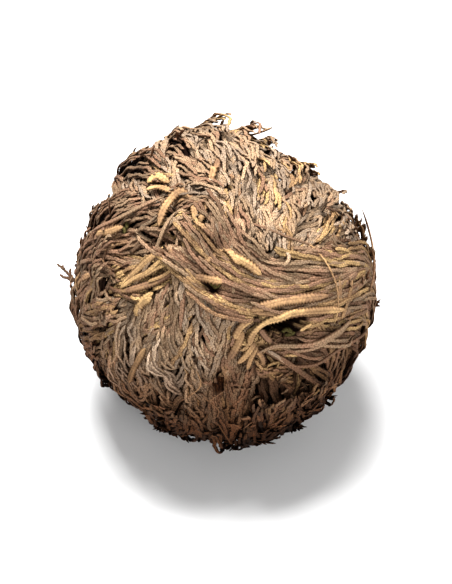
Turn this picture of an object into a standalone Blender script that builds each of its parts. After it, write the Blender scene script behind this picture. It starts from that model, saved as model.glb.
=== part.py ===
"""Rose of jericho: a dried resurrection plant, rolled up into a ball.

Scaly fronds rise from a woody root crown, hug the ball and curl inwards over its top.
Each frond is one thick ridged blade, narrow at its stalk and fingered at its tip.
They are laid from the outside in, so that each one is tucked under those laid before it.
Units are metres. The origin is on the surface that the plant rests on, under the ball.
Longitude 0 faces -Y and 90 faces +X. Angles are in degrees.
"""

import math
from collections import namedtuple

import bmesh
import bpy
from mathutils import Vector
from mathutils.bvhtree import BVHTree

NAME = "rose_of_jericho"

# The ball.
BALL_CENTRE = Vector((0.0, 0.0, 0.0390))
BALL_RADIUS = 0.0400
STALK_LATITUDE = -64.0
LOWEST_POINT = 0.0008

# The crown, a short cone that narrows upwards between the stalks.
CROWN_ANGLE = 24.6
CROWN_HEIGHT = 0.013
CROWN_FOOT_RADIUS = 0.0140
CROWN_SEGMENTS = 22
CROWN_RINGS = 5
CROWN_RIDGES = 7
CROWN_RIDGE_DEPTH = 0.10

# A blade: its cells, its thickness and the ridges that its branchlets make.
CELL_LENGTH = 0.0115
BLADE_THICKNESS = 0.0013
RIDGE_HEIGHT = 0.0008
STALK_HALF_WIDTH = 0.0017
FAN_OPENING = 0.24
TIP_TAPER = 0.30
TIP_NOTCH = 0.6
EDGE_NOTCH = 0.16
EDGE_CURL = 0.0011
FULL_RELIEF_HALF_WIDTH = 0.0085

# Room between the fronds, and the most that a blade's depth changes from cell to cell, along
# it and across it.
GAP = 0.00035
FACET_ALLOWANCE = 0.00020
STEEPEST_STEP = 0.0044
STEEPEST_STEP_ACROSS = 0.0040
LOWERING = 0.0003
MOST_LOWERINGS = 40
CELLS_ACROSS = 6
INNER_CELLS_ACROSS = 4
LEAST_CELLS_ALONG = 5
ROOM_SAMPLES = (-1.0, -0.66, -0.33, 0.0, 0.33, 0.66, 1.0)
PATH_SAMPLES = 160

# Swellings and hollows of the ball: where each is, its height and its angular width.
Lump = namedtuple("Lump", "longitude latitude height width")
LUMPS = (
    Lump(-150, 45, 0.0072, 27),
    Lump(170, 46, 0.0036, 20),
    Lump(112, 14, 0.0018, 16),
    Lump(14, -44, 0.0026, 24),
    Lump(-50, -30, 0.0014, 20),
    Lump(119, 24, -0.0014, 22),
)

GREY = (0.45, 0.34, 0.25)
TAN = (0.52, 0.36, 0.20)
GOLD = (0.62, 0.43, 0.20)
BROWN = (0.28, 0.16, 0.09)
DARK = (0.12, 0.07, 0.04)

# stalk is the longitude where the frond leaves the crown, and path what its middle passes
# over from there to its tip. fan is the share of its length where the stalk opens out.
Frond = namedtuple("Frond", "name colour half_width fan stalk path")

# From the outermost frond inwards.
FRONDS = (
    Frond("frond_right_1", TAN, 0.0070, 0.20, 92,
          ((88, -20), (84, 14), (58, 33), (28, 45), (2, 57), (-15, 66))),
    Frond("frond_right_2", TAN, 0.0070, 0.20, 76,
          ((75, -20), (74, 8), (52, 26), (24, 38), (-2, 47), (-28, 57))),
    Frond("frond_right_3", GREY, 0.0060, 0.24, 62,
          ((64, -22), (66, 2), (48, 20), (28, 30), (4, 41))),
    Frond("frond_front_6", BROWN, 0.0092, 0.20, -69, ((-72, -32), (-74, -8), (-66, 12), (-57, 27))),
    Frond("frond_left_1", BROWN, 0.0088, 0.20, -98, ((-97, -30), (-95, -2), (-84, 20), (-68, 34))),
    Frond("frond_fold", GOLD, 0.0054, 0.30, -84,
          ((-84, -30), (-78, 6), (-60, 29), (-40, 42), (-24, 54))),
    Frond("frond_arch", GOLD, 0.0044, 0.30, 49,
          ((56, -22), (63, 2), (46, 22), (26, 27), (12, 18))),
    Frond("frond_low_1", DARK, 0.0064, 0.25, 12, ((14, -44), (17, -24), (19, -5))),
    Frond("frond_low_2", DARK, 0.0064, 0.25, 27, ((32, -44), (36, -26), (34, -8))),
    Frond("frond_low_3", DARK, 0.0070, 0.25, -29, ((-27, -44), (-24, -28), (-22, -12))),
    Frond("frond_right_4", TAN, 0.0060, 0.30, 41, ((56, -28), (64, -8), (42, 12), (18, 17))),
    Frond("frond_right_5", BROWN, 0.0072, 0.25, 34, ((43, -30), (38, -8), (22, 10))),
    Frond("frond_front_1", TAN, 0.0064, 0.30, 3, ((3, -30), (5, -2), (10, 14), (20, 28))),
    Frond("frond_front_2", GREY, 0.0078, 0.30, -7, ((-5, -30), (-3, 0), (-1, 22), (0, 42))),
    Frond("frond_front_3", GREY, 0.0092, 0.30, -20, ((-15, -30), (-13, -4), (-14, 20), (-10, 43))),
    Frond("frond_front_4", GREY, 0.0092, 0.28, -36, ((-34, -34), (-33, -10), (-30, 15), (-22, 38))),
    Frond("frond_front_5", BROWN, 0.0092, 0.26, -52, ((-52, -34), (-53, -12), (-47, 12), (-36, 34))),
    Frond("frond_left_2", TAN, 0.0084, 0.20, -111,
          ((-109, -25), (-106, 8), (-90, 34), (-62, 54), (-34, 64))),
    Frond("frond_back_1", BROWN, 0.0088, 0.20, 112, ((112, -38), (116, -14), (110, 8))),
    Frond("frond_back_2", GREY, 0.0088, 0.20, 136, ((139, -38), (138, -18), (142, 3))),
    Frond("frond_back_3", BROWN, 0.0088, 0.20, 160, ((160, -38), (164, -22), (158, -4))),
    Frond("frond_back_4", GREY, 0.0088, 0.20, 184, ((184, -38), (188, -19), (184, 1))),
    Frond("frond_back_5", BROWN, 0.0088, 0.20, 208, ((210, -38), (208, -23), (214, -5))),
    Frond("frond_back_6", BROWN, 0.0088, 0.20, 232, ((232, -38), (236, -20), (230, 0))),
    Frond("frond_top_1", TAN, 0.0088, 0.15, -124,
          ((-126, -20), (-127, 16), (-117, 42), (-82, 59), (-44, 68))),
    Frond("frond_top_2", GREY, 0.0092, 0.15, -134,
          ((-137, -18), (-142, 24), (-139, 50), (-98, 70), (-48, 75))),
    Frond("frond_top_3", GREY, 0.0092, 0.15, -146,
          ((-150, -15), (-157, 26), (-158, 54), (-112, 78), (-50, 77))),
    Frond("frond_top_4", GREY, 0.0094, 0.15, -158,
          ((-163, -15), (-170, 28), (-176, 60), (-140, 85), (-25, 72))),
    Frond("frond_top_5", GREY, 0.0094, 0.15, 174,
          ((176, -15), (176, 30), (172, 62), (130, 84), (0, 70))),
    Frond("frond_top_6", GREY, 0.0094, 0.15, 154,
          ((154, -15), (150, 30), (142, 60), (98, 78), (20, 66))),
    Frond("frond_top_7", GREY, 0.0092, 0.15, 137,
          ((135, -15), (129, 26), (118, 52), (84, 68), (34, 61))),
    Frond("frond_top_8", GREY, 0.0090, 0.15, 120,
          ((115, -15), (109, 22), (97, 45), (69, 57), (36, 53))),
    Frond("frond_top_9", BROWN, 0.0086, 0.15, 104,
          ((101, -18), (97, 12), (86, 33), (61, 45), (34, 46))),
    Frond("frond_right_6", BROWN, 0.0080, 0.15, 84, ((82, -30), (80, 0), (68, 26))),
    Frond("frond_right_7", BROWN, 0.0080, 0.15, 56, ((58, -34), (60, -10), (52, 10))),
)

# The inner fronds show only as dark branchlets between the outer ones.
INNER_COUNT = 8
INNER_DEPTH = 0.0050
INNER_HALF_WIDTH = 0.0150
INNER_FAN = 0.02
INNER_FIRST_LONGITUDE = 20

# A forked twig that juts out of the ball's left side, flat and square to a line of sight that
# comes down at 45 degrees from the front. Its outline runs from the lower corner of its foot
# round its three prongs: how far each point is to the left of the ball's middle, and how far up.
TWIG_SIGHT_LINE = Vector((0.0, -1.0, 1.0)).normalized()
TWIG_THICKNESS = 0.0009
TWIG_FOOT_GAP = 0.0001
TWIG_FOOT = (0.0000, 0.0009)
TWIG_PRONGS = (
    (0.0392, 0.0004), (0.0407, 0.0019), (0.0420, 0.0022), (0.0434, 0.0032), (0.0433, 0.0039),
    (0.0420, 0.0031), (0.0412, 0.0034), (0.0428, 0.0049), (0.0441, 0.0061), (0.0444, 0.0068),
    (0.0436, 0.0067), (0.0422, 0.0056), (0.0409, 0.0042), (0.0407, 0.0050), (0.0403, 0.0054),
    (0.0400, 0.0050), (0.0401, 0.0036), (0.0400, 0.0027), (0.0390, 0.0015),
)


def inner_fronds():
    """Broad fronds, evenly spaced round the crown, whose tips lean over each other at the top."""
    made = []
    for k in range(INNER_COUNT):
        turn = INNER_FIRST_LONGITUDE + 360 * k / INNER_COUNT
        path = ((turn, -18), (turn + 4, 24), (turn + 14, 52), (turn + 40, 76))
        made.append(Frond(f"frond_inner_{k + 1}", DARK, INNER_HALF_WIDTH, INNER_FAN, turn, path))
    return made


def direction(longitude, latitude):
    """Unit vector from the middle of the ball."""
    lon, lat = math.radians(longitude), math.radians(latitude)
    return Vector((math.sin(lon) * math.cos(lat), -math.cos(lon) * math.cos(lat), math.sin(lat)))


def smoothstep(x):
    """0 below 0, 1 above 1, and an even curve between."""
    x = min(1.0, max(0.0, x))
    return x * x * (3 - 2 * x)


LUMP_DIRECTIONS = [direction(lump.longitude, lump.latitude) for lump in LUMPS]


def ball_radius(aim):
    """Distance from the middle to the outside of the ball: a sphere with soft lumps."""
    radius = BALL_RADIUS
    for lump, middle in zip(LUMPS, LUMP_DIRECTIONS):
        radius += lump.height * math.exp(-((math.degrees(aim.angle(middle)) / lump.width) ** 2))
    if aim.z < 0:
        radius = min(radius, (BALL_CENTRE.z - LOWEST_POINT) / -aim.z)
    return radius


class MiddleLine:
    """A frond's middle as a smooth curve on the unit sphere, read by its share of the length."""

    def __init__(self, frond):
        marks = [direction(frond.stalk, STALK_LATITUDE)] + [direction(*p) for p in frond.path]
        marks = [2 * marks[0] - marks[1]] + marks + [2 * marks[-1] - marks[-2]]
        spans = len(marks) - 3
        self.points = []
        for step in range(PATH_SAMPLES + 1):
            at = min(step * spans / PATH_SAMPLES, spans - 1e-9)
            first, t = int(at), at % 1.0
            a, b, c, d = marks[first : first + 4]
            point = 0.5 * (2 * b + (c - a) * t + (2 * a - 5 * b + 4 * c - d) * t**2
                           + (3 * b - a - 3 * c + d) * t**3)
            self.points.append(point.normalized())
        self.reach = [0.0]
        for a, b in zip(self.points, self.points[1:]):
            self.reach.append(self.reach[-1] + a.angle(b, 0.0))
        self.length = self.reach[-1] * BALL_RADIUS

    def at(self, share):
        """(point on the unit sphere, side vector) at this share of the length."""
        wanted = min(1.0, max(0.0, share)) * self.reach[-1]
        k = 1
        while k < PATH_SAMPLES and self.reach[k] < wanted:
            k += 1
        a, b = self.points[k - 1], self.points[k]
        part = (wanted - self.reach[k - 1]) / max(self.reach[k] - self.reach[k - 1], 1e-9)
        point = a.lerp(b, part).normalized()
        return point, (b - a).cross(point).normalized()


def half_width(frond, share):
    """A thin stalk that opens into a fan and draws in again at the tip."""
    open_by = smoothstep((share - frond.fan) / FAN_OPENING)
    stalk = STALK_HALF_WIDTH * (1 + 0.6 * min(1.0, share / frond.fan))
    width = stalk + (frond.half_width - stalk) * open_by
    return width * (1 - TIP_TAPER * smoothstep((share - 0.72) / 0.28))


def place(frond, line, share, across):
    """Direction from the middle of the ball of a point of the blade. across goes from -1 to 1."""
    point, side = line.at(share)
    turn = across * half_width(frond, share) / BALL_RADIUS
    return (point * math.cos(turn) + side * math.sin(turn)).normalized()


def outline(share, across, column, row, cells_across, cells_along):
    """Moves the blade's border in and out, which gives it fingers and a notched edge."""
    on_ridge = column % 2 == cells_across // 2 % 2
    if row == cells_along and not on_ridge:
        share -= TIP_NOTCH / cells_along
    if column in (0, cells_across) and 0 < row < cells_along and row % 2:
        across *= 1 - EDGE_NOTCH
        share -= 0.25 / cells_along
    return share, across, on_ridge


def room_under(placed, frond, line, share, across, cells):
    """The least distance from the middle to what is already laid, within one cell round a point."""
    least = math.inf
    for u in ROOM_SAMPLES:
        for v in ROOM_SAMPLES:
            aim = place(frond, line, share + v / cells[1], across + u * 2 / cells[0])
            for tree in placed:
                distance = tree.ray_cast(BALL_CENTRE, aim)[3]
                if distance is not None:
                    least = min(least, distance)
    return least


def blade_mesh(name, grid, radii, raise_by=0.0):
    """The frond's outer surface as a mesh whose vertices stand at these radii."""
    shape = bmesh.new()
    columns, rows = max(grid)
    bmesh.ops.create_grid(shape, x_segments=columns, y_segments=rows, size=1.0)
    for vertex in shape.verts:
        key = (round((vertex.co.x + 1) / 2 * columns), round((vertex.co.y + 1) / 2 * rows))
        vertex.co = BALL_CENTRE + grid[key] * (radii[key] + raise_by)
    mesh = bpy.data.meshes.new(name)
    shape.to_mesh(mesh)
    shape.free()
    return mesh


def solid(obj):
    """The object's shape with its modifiers, as (vertices, triangles, search tree)."""
    seen = obj.evaluated_get(bpy.context.evaluated_depsgraph_get())
    mesh = seen.to_mesh()
    mesh.calc_loop_triangles()
    vertices = [v.co.copy() for v in mesh.vertices]
    triangles = [tuple(t.vertices) for t in mesh.loop_triangles]
    seen.to_mesh_clear()
    return vertices, triangles, BVHTree.FromPolygons(vertices, triangles)


def key_of(point, grid):
    """The grid key whose direction is nearest to this point's."""
    aim = (point - BALL_CENTRE).normalized()
    return max(grid, key=lambda key: aim.dot(grid[key]))


def make_frond(frond, placed, collection, depth=0.0):
    """Builds one frond under those already placed, and adds its search tree to them."""
    line = MiddleLine(frond)
    cells = (INNER_CELLS_ACROSS if depth else CELLS_ACROSS,
             max(LEAST_CELLS_ALONG, round(line.length / CELL_LENGTH)))
    grid, radii, reliefs = {}, {}, {}
    for column in range(cells[0] + 1):
        for row in range(cells[1] + 1):
            share, across = row / cells[1], 2 * column / cells[0] - 1
            share, across, on_ridge = outline(share, across, column, row, *cells)
            aim = place(frond, line, share, across)
            grid[column, row] = aim
            relief = min(1.0, half_width(frond, share) / FULL_RELIEF_HALF_WIDTH)
            reliefs[column, row] = relief
            free = ball_radius(aim) - depth - relief * EDGE_CURL * across**2
            room = room_under(placed, frond, line, share, across, cells)
            radius = min(free, room - GAP - FACET_ALLOWANCE)
            radii[column, row] = radius - (0.0 if on_ridge else relief * RIDGE_HEIGHT)
    ease(radii, reliefs)
    obj = bpy.data.objects.new(frond.name, blade_mesh(frond.name, grid, radii, GAP))
    collection.objects.link(obj)
    thicken = obj.modifiers.new("thickness", "SOLIDIFY")
    thicken.thickness = BLADE_THICKNESS
    thicken.offset = -1
    for _ in range(MOST_LOWERINGS):
        vertices, triangles, tree = solid(obj)
        touching = {t for other in placed for t, _ in tree.overlap(other)}
        if not touching:
            break
        hit = {key_of(vertices[i], grid) for t in touching for i in triangles[t]}
        for key in hit:
            radii[key] -= LOWERING
        ease(radii, reliefs)
        obj.data = blade_mesh(frond.name, grid, radii, GAP)
    obj.data = blade_mesh(frond.name, grid, radii)
    placed.append(solid(obj)[2])
    obj.data.materials.append(material(frond.name, frond.colour))
    return obj


def ease(radii, reliefs):
    """Lowers vertices until none stands more than a step above its neighbours.

    The step across the blade is smaller where the blade is narrow.
    """
    changed = True
    while changed:
        changed = False
        for (column, row), radius in radii.items():
            for over, up in ((1, 0), (-1, 0), (0, 1), (0, -1)):
                near = column + over, row + up
                step = STEEPEST_STEP_ACROSS * reliefs[column, row] if over else STEEPEST_STEP
                if near in radii and radius > radii[near] + step:
                    radius = radii[near] + step
                    radii[column, row] = radius
                    changed = True


def make_crown(collection):
    """The woody root crown: a ridged cone with a flat foot, between the stalks."""
    slope = math.tan(math.radians(CROWN_ANGLE))
    shape = bmesh.new()
    for ring in range(CROWN_RINGS + 1):
        height = CROWN_HEIGHT * ring / CROWN_RINGS
        radius = (BALL_CENTRE.z - height) * slope
        if ring == 0:
            radius = CROWN_FOOT_RADIUS
        for k in range(CROWN_SEGMENTS):
            angle = 2 * math.pi * k / CROWN_SEGMENTS
            ridge = 0.5 - 0.5 * math.cos(CROWN_RIDGES * angle + 0.8 * ring)
            reach = radius * (1 - CROWN_RIDGE_DEPTH * ridge)
            shape.verts.new((reach * math.cos(angle), reach * math.sin(angle), height))
    shape.verts.ensure_lookup_table()
    for ring in range(CROWN_RINGS):
        for k in range(CROWN_SEGMENTS):
            a, b = ring * CROWN_SEGMENTS + k, ring * CROWN_SEGMENTS + (k + 1) % CROWN_SEGMENTS
            quad = (a, b, b + CROWN_SEGMENTS, a + CROWN_SEGMENTS)
            shape.faces.new([shape.verts[i] for i in quad])
    shape.faces.new([shape.verts[k] for k in reversed(range(CROWN_SEGMENTS))])
    top = CROWN_RINGS * CROWN_SEGMENTS
    shape.faces.new([shape.verts[top + k] for k in range(CROWN_SEGMENTS)])
    mesh = bpy.data.meshes.new("root_crown")
    shape.to_mesh(mesh)
    shape.free()
    mesh.materials.append(material("root_crown", DARK))
    obj = bpy.data.objects.new("root_crown", mesh)
    collection.objects.link(obj)
    return obj


def outermost(placed, aim):
    """How far out the fronds reach along a direction."""
    start = BALL_CENTRE + aim * 2 * BALL_RADIUS
    hits = [tree.ray_cast(start, -aim)[3] for tree in placed]
    return 2 * BALL_RADIUS - min(hit for hit in hits if hit is not None)


def make_twig(placed, collection):
    """The stray twig: a flat outline given its thickness, its foot on the frond under it."""
    left = Vector((-1.0, 0.0, 0.0))
    up = left.cross(TWIG_SIGHT_LINE)
    depths = (-TWIG_THICKNESS / 2, 0.0, TWIG_THICKNESS / 2)
    foot = 0.0
    for rise in (TWIG_FOOT[0], sum(TWIG_FOOT) / 2, TWIG_FOOT[1]):
        for depth in depths:
            aim = (left * TWIG_PRONGS[0][0] + up * rise + TWIG_SIGHT_LINE * depth).normalized()
            foot = max(foot, outermost(placed, aim) * aim.dot(left) + TWIG_FOOT_GAP)
    shape = bmesh.new()
    corners = ((foot, TWIG_FOOT[0]), *TWIG_PRONGS, (foot, TWIG_FOOT[1]))
    layers = []
    for depth in (depths[0], depths[-1]):
        layers.append([shape.verts.new(BALL_CENTRE + left * out + up * rise + TWIG_SIGHT_LINE * depth)
                       for out, rise in corners])
    back, front = layers
    shape.faces.new(back)
    shape.faces.new(reversed(front))
    for k in range(len(corners)):
        after = (k + 1) % len(corners)
        shape.faces.new((back[after], back[k], front[k], front[after]))
    bmesh.ops.recalc_face_normals(shape, faces=shape.faces)
    mesh = bpy.data.meshes.new("stray_twig")
    shape.to_mesh(mesh)
    shape.free()
    mesh.materials.append(material("stray_twig", BROWN))
    collection.objects.link(bpy.data.objects.new("stray_twig", mesh))


def material(name, colour):
    """Dry, matt plant matter of one colour."""
    made = bpy.data.materials.new(name)
    made.use_nodes = True
    shader = made.node_tree.nodes["Principled BSDF"]
    shader.inputs["Base Color"].default_value = (*colour, 1.0)
    shader.inputs["Roughness"].default_value = 0.85
    shader.inputs["Metallic"].default_value = 0.0
    return made


def main():
    for obj in list(bpy.data.objects):
        bpy.data.objects.remove(obj)
    collection = bpy.data.collections.new(NAME)
    bpy.context.scene.collection.children.link(collection)
    crown = make_crown(collection)
    placed = [solid(crown)[2]]
    for frond in FRONDS:
        make_frond(frond, placed, collection)
    for frond in inner_fronds():
        make_frond(frond, placed, collection, INNER_DEPTH)
    make_twig(placed, collection)


main()
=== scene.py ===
"""Rose of jericho: the looks of a dried resurrection plant, rolled up into a ball.

Every frond's plain blade is replaced by its branchlets. They fork, lie almost side by side
and are clad in small scale leaves. The root crown, roots, folded golden blades and stray
stems are laid on and under them. Metres throughout, with +Z up and longitude 0 towards -Y.
"""
import math
from collections import namedtuple

import bpy
import numpy as np
from bpy.props import FloatProperty, FloatVectorProperty, IntProperty, PointerProperty
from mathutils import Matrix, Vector
from mathutils.bvhtree import BVHTree


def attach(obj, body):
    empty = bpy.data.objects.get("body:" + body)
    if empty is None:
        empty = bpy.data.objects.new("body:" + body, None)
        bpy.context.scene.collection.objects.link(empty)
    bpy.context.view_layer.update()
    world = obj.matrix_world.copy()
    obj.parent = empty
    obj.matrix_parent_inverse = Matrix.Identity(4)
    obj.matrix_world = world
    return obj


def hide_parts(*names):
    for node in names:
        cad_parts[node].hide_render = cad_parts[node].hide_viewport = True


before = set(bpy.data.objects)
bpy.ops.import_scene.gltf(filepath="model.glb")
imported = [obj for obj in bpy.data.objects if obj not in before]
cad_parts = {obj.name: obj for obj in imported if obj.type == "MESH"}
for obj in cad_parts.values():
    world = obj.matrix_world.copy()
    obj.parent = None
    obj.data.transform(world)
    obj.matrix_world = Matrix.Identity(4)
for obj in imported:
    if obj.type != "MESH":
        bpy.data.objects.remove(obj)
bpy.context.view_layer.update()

bl_info = {
    "name": "Rose of Jericho",
    "version": (1, 0, 0),
    "blender": (4, 5, 0),
    "location": "3D View > Sidebar > Rose of Jericho",
    "description": "Dresses a rolled-up resurrection plant with scaly branchlets",
    "category": "Object",
}

MM = 0.001

# The ball and its fronds, as the solids have them.
BALL_CENTRE = np.array((0.0, 0.0, 0.0390))
BALL_RADIUS = 0.0400
STALK_LATITUDE = -64.0
STALK_HALF_WIDTH = 0.0017
FAN_OPENING = 0.24
TIP_TAPER = 0.30
CROWN_HEIGHT = 0.013
CROWN_FOOT_RADIUS = 0.0140
CROWN_ANGLE = 24.6

# How the branchlets of a frond are laid out. Distances are in metres.
# spacing: between forks off the middle stem. reach: how far a side branchlet runs along.
# width: half of a branchlet's. twigs: forks on each side branchlet. tip: how far its end stands
# out of the blade. golden: the share of branchlets that are golden. spill: how far they pass
# the border of the fan. sway: how much they wander. depth: how deep an undergrowth frond, which
# has no solid, lies under the plant's outside. hidden: how far under the outside a branchlet is
# out of sight and left out. coarse: the distance between rings against the usual one.
Habit = namedtuple("Habit", "spacing reach width twigs tip golden spill sway depth hidden coarse")
FAN = Habit(0.0034, 0.020, 0.00062, 3, -0.0003, 0.08, 1.22, 1.0, 0.0010, 0.0018, 1.0)
BUNDLE = Habit(0.0050, 0.044, 0.00066, 2, -0.0002, 0.18, 1.05, 0.7, 0.0010, 0.0018, 1.0)
FRINGE = Habit(0.0034, 0.018, 0.00060, 3, 0.0004, 0.08, 1.20, 1.0, 0.0012, 0.0018, 1.0)
FOLD = Habit(0.0034, 0.020, 0.00058, 2, -0.0004, 0.60, 1.00, 0.8, 0.0010, 0.0018, 1.0)
INNER = Habit(0.0050, 0.020, 0.00088, 1, -0.0004, 0.03, 1.10, 1.0, 0.0042, 0.0002, 1.5)
UNDER = Habit(0.0044, 0.020, 0.00062, 2, -0.0003, 0.08, 1.10, 1.0, 0.0010, 0.0002, 1.35)
LINING = Habit(0.0044, 0.020, 0.00078, 2, -0.0003, 0.04, 1.10, 1.0, 0.0016, 0.0022, 2.0)

# stalk is the longitude where the frond leaves the crown, and path what its middle passes
# over from there to its tip. fan is the share of its length where the stalk opens out.
Frond = namedtuple("Frond", "name slot habit half_width fan stalk path")


def named(start, rows):
    """Fronds from rows that leave out the start of their names, and frond_ before their slots."""
    return tuple(Frond(start + name, "frond_" + slot, *rest) for name, slot, *rest in rows)


FRONDS = named("frond_", (
    ("right_1", "tan", BUNDLE, 0.0070, 0.20, 92,
     ((88, -20), (84, 14), (58, 33), (28, 45), (2, 57), (-15, 66))),
    ("right_2", "tan", BUNDLE, 0.0070, 0.20, 76,
     ((75, -20), (74, 8), (52, 26), (24, 38), (-2, 47), (-28, 57))),
    ("right_3", "grey", BUNDLE, 0.0060, 0.24, 62, ((64, -22), (66, 2), (48, 20), (28, 30), (4, 41))),
    ("front_6", "brown", FAN, 0.0092, 0.20, -69, ((-72, -32), (-74, -8), (-66, 12), (-57, 27))),
    ("left_1", "brown", FRINGE, 0.0088, 0.20, -98, ((-97, -30), (-95, -2), (-84, 20), (-68, 34))),
    ("fold", "gold", FOLD, 0.0054, 0.30, -84, ((-84, -30), (-78, 6), (-60, 29), (-40, 42), (-24, 54))),
    ("arch", "gold", FOLD, 0.0044, 0.30, 49, ((56, -22), (63, 2), (46, 22), (26, 27), (12, 18))),
    ("low_1", "dark", FRINGE, 0.0064, 0.25, 12, ((14, -44), (17, -24), (19, -5))),
    ("low_2", "dark", FRINGE, 0.0064, 0.25, 27, ((32, -44), (36, -26), (34, -8))),
    ("low_3", "dark", FRINGE, 0.0070, 0.25, -29, ((-27, -44), (-24, -28), (-22, -12))),
    ("right_4", "tan", FAN, 0.0060, 0.30, 41, ((56, -28), (64, -8), (42, 12), (18, 17))),
    ("right_5", "brown", FAN, 0.0072, 0.25, 34, ((43, -30), (38, -8), (22, 10))),
    ("front_1", "tan", FAN, 0.0064, 0.30, 3, ((3, -30), (5, -2), (10, 14), (20, 28))),
    ("front_2", "grey", FAN, 0.0078, 0.30, -7, ((-5, -30), (-3, 0), (-1, 22), (0, 42))),
    ("front_3", "grey", FAN, 0.0092, 0.30, -20, ((-15, -30), (-13, -4), (-14, 20), (-10, 43))),
    ("front_4", "grey", FAN, 0.0092, 0.28, -36, ((-34, -34), (-33, -10), (-30, 15), (-22, 38))),
    ("front_5", "brown", FAN, 0.0092, 0.26, -52, ((-52, -34), (-53, -12), (-47, 12), (-36, 34))),
    ("left_2", "tan", FRINGE, 0.0084, 0.20, -111,
     ((-109, -25), (-106, 8), (-90, 34), (-62, 54), (-34, 64))),
    ("back_1", "brown", FRINGE, 0.0088, 0.20, 112, ((112, -38), (116, -14), (110, 8))),
    ("back_2", "grey", FRINGE, 0.0088, 0.20, 136, ((139, -38), (138, -18), (142, 3))),
    ("back_3", "brown", FRINGE, 0.0088, 0.20, 160, ((160, -38), (164, -22), (158, -4))),
    ("back_4", "grey", FRINGE, 0.0088, 0.20, 184, ((184, -38), (188, -19), (184, 1))),
    ("back_5", "brown", FRINGE, 0.0088, 0.20, 208, ((210, -38), (208, -23), (214, -5))),
    ("back_6", "brown", FRINGE, 0.0088, 0.20, 232, ((232, -38), (236, -20), (230, 0))),
    ("top_1", "tan", FRINGE, 0.0088, 0.15, -124,
     ((-126, -20), (-127, 16), (-117, 42), (-82, 59), (-44, 68))),
    ("top_2", "grey", FRINGE, 0.0092, 0.15, -134,
     ((-137, -18), (-142, 24), (-139, 50), (-98, 70), (-48, 75))),
    ("top_3", "grey", FAN, 0.0092, 0.15, -146,
     ((-150, -15), (-157, 26), (-158, 54), (-112, 78), (-50, 77))),
    ("top_4", "grey", FAN, 0.0094, 0.15, -158,
     ((-163, -15), (-170, 28), (-176, 60), (-140, 85), (-25, 72))),
    ("top_5", "grey", FAN, 0.0094, 0.15, 174, ((176, -15), (176, 30), (172, 62), (130, 84), (0, 70))),
    ("top_6", "grey", FAN, 0.0094, 0.15, 154, ((154, -15), (150, 30), (142, 60), (98, 78), (20, 66))),
    ("top_7", "grey", FAN, 0.0092, 0.15, 137, ((135, -15), (129, 26), (118, 52), (84, 68), (34, 61))),
    ("top_8", "grey", FRINGE, 0.0090, 0.15, 120, ((115, -15), (109, 22), (97, 45), (69, 57), (36, 53))),
    ("top_9", "brown", FRINGE, 0.0086, 0.15, 104, ((101, -18), (97, 12), (86, 33), (61, 45), (34, 46))),
    ("right_6", "brown", FRINGE, 0.0080, 0.15, 84, ((82, -30), (80, 0), (68, 26))),
    ("right_7", "brown", FRINGE, 0.0080, 0.15, 56, ((58, -34), (60, -10), (52, 10))),
))

# Undergrowth fronds that fill the gaps at the sides and the one in the middle.
FILLERS = named("filler_", (
    ("left", "tan", UNDER, 0.0080, 0.20, -88, ((-90, -10), (-84, 14), (-76, 32), (-62, 44), (-48, 52))),
    ("low_left", "brown", LINING, 0.0095, 0.20, -66, ((-64, -30), (-60, -6), (-59, 12), (-64, 30))),
    ("far_left", "brown", LINING, 0.0095, 0.20, -86,
     ((-84, -30), (-80, -6), (-78, 14), (-84, 34), (-92, 46))),
    ("back_left", "brown", LINING, 0.0095, 0.20, -106, ((-106, -20), (-104, 8), (-99, 34), (-88, 54))),
    ("upper_left", "tan", LINING, 0.0095, 0.20, -140,
     ((-142, 0), (-147, 28), (-150, 50), (-126, 66), (-84, 70))),
    ("outer_left", "brown", LINING, 0.0095, 0.20, -124, ((-126, -10), (-130, 14), (-131, 36), (-112, 54))),
    ("middle", "dark", LINING, 0.0085, 0.20, 20, ((22, -34), (26, -14), (28, 0), (24, 14))),
    ("low_right", "brown", UNDER, 0.0095, 0.20, 45, ((46, -35), (48, -12), (44, 6), (34, 18))),
    ("right", "brown", UNDER, 0.0095, 0.20, 66, ((68, -35), (70, -10), (62, 10), (50, 22))),
    ("low_far_right", "dark", LINING, 0.0090, 0.15, 76, ((76, -44), (77, -28), (79, -12))),
    ("far_right", "brown", UNDER, 0.0095, 0.20, 96, ((98, -30), (96, 0), (86, 22), (66, 36))),
))

# The fronds that go all round: the inner ones, the deep ones between them and the low ones.
# NO_STALK and SHORT_STALK are shares of a frond's length. BETWEEN_WIDTH is how wide the
# undergrowth between two outer fronds is against the first of them.
INNER_COUNT = 8
INNER_HALF_WIDTH = 0.0150
INNER_FIRST_LONGITUDE = 20
INNER_HIDDEN_DEPTH = 0.0100
DEEP_COUNT = 16
DEEP_HALF_WIDTH = 0.0105
LOW_COUNT = 14
LOW_HALF_WIDTH = 0.0100
NO_STALK = 0.02
SHORT_STALK = 0.15
BETWEEN_WIDTH = 0.75
PATH_SAMPLES = 160

# Notches between fronds: a blade that has nothing over it within OPEN_AIR is raised in them.
OPEN_AIR = 0.0015
DEEPEST_NOTCH = 0.0050
NOTCH_FILL = 0.8
FRINGE_FILL = 0.2


def frond_marks(frond):
    """The directions that a frond's middle passes through, from its stalk on."""
    return np.vstack((direction(frond.stalk, STALK_LATITUDE), [direction(*place) for place in frond.path]))


def all_round(names, habit, half_width, fan, first_longitude, path):
    """Dark fronds alike, evenly spaced round the crown, one for each name.

    The longitudes of the path are counted from each frond's own stalk.
    """
    made = []
    for k, name in enumerate(names):
        turn = first_longitude + 360 * k / len(names)
        own_path = tuple((turn + aside, latitude) for aside, latitude in path)
        made.append(Frond(name, "frond_dark", habit, half_width, fan, turn, own_path))
    return made


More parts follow.
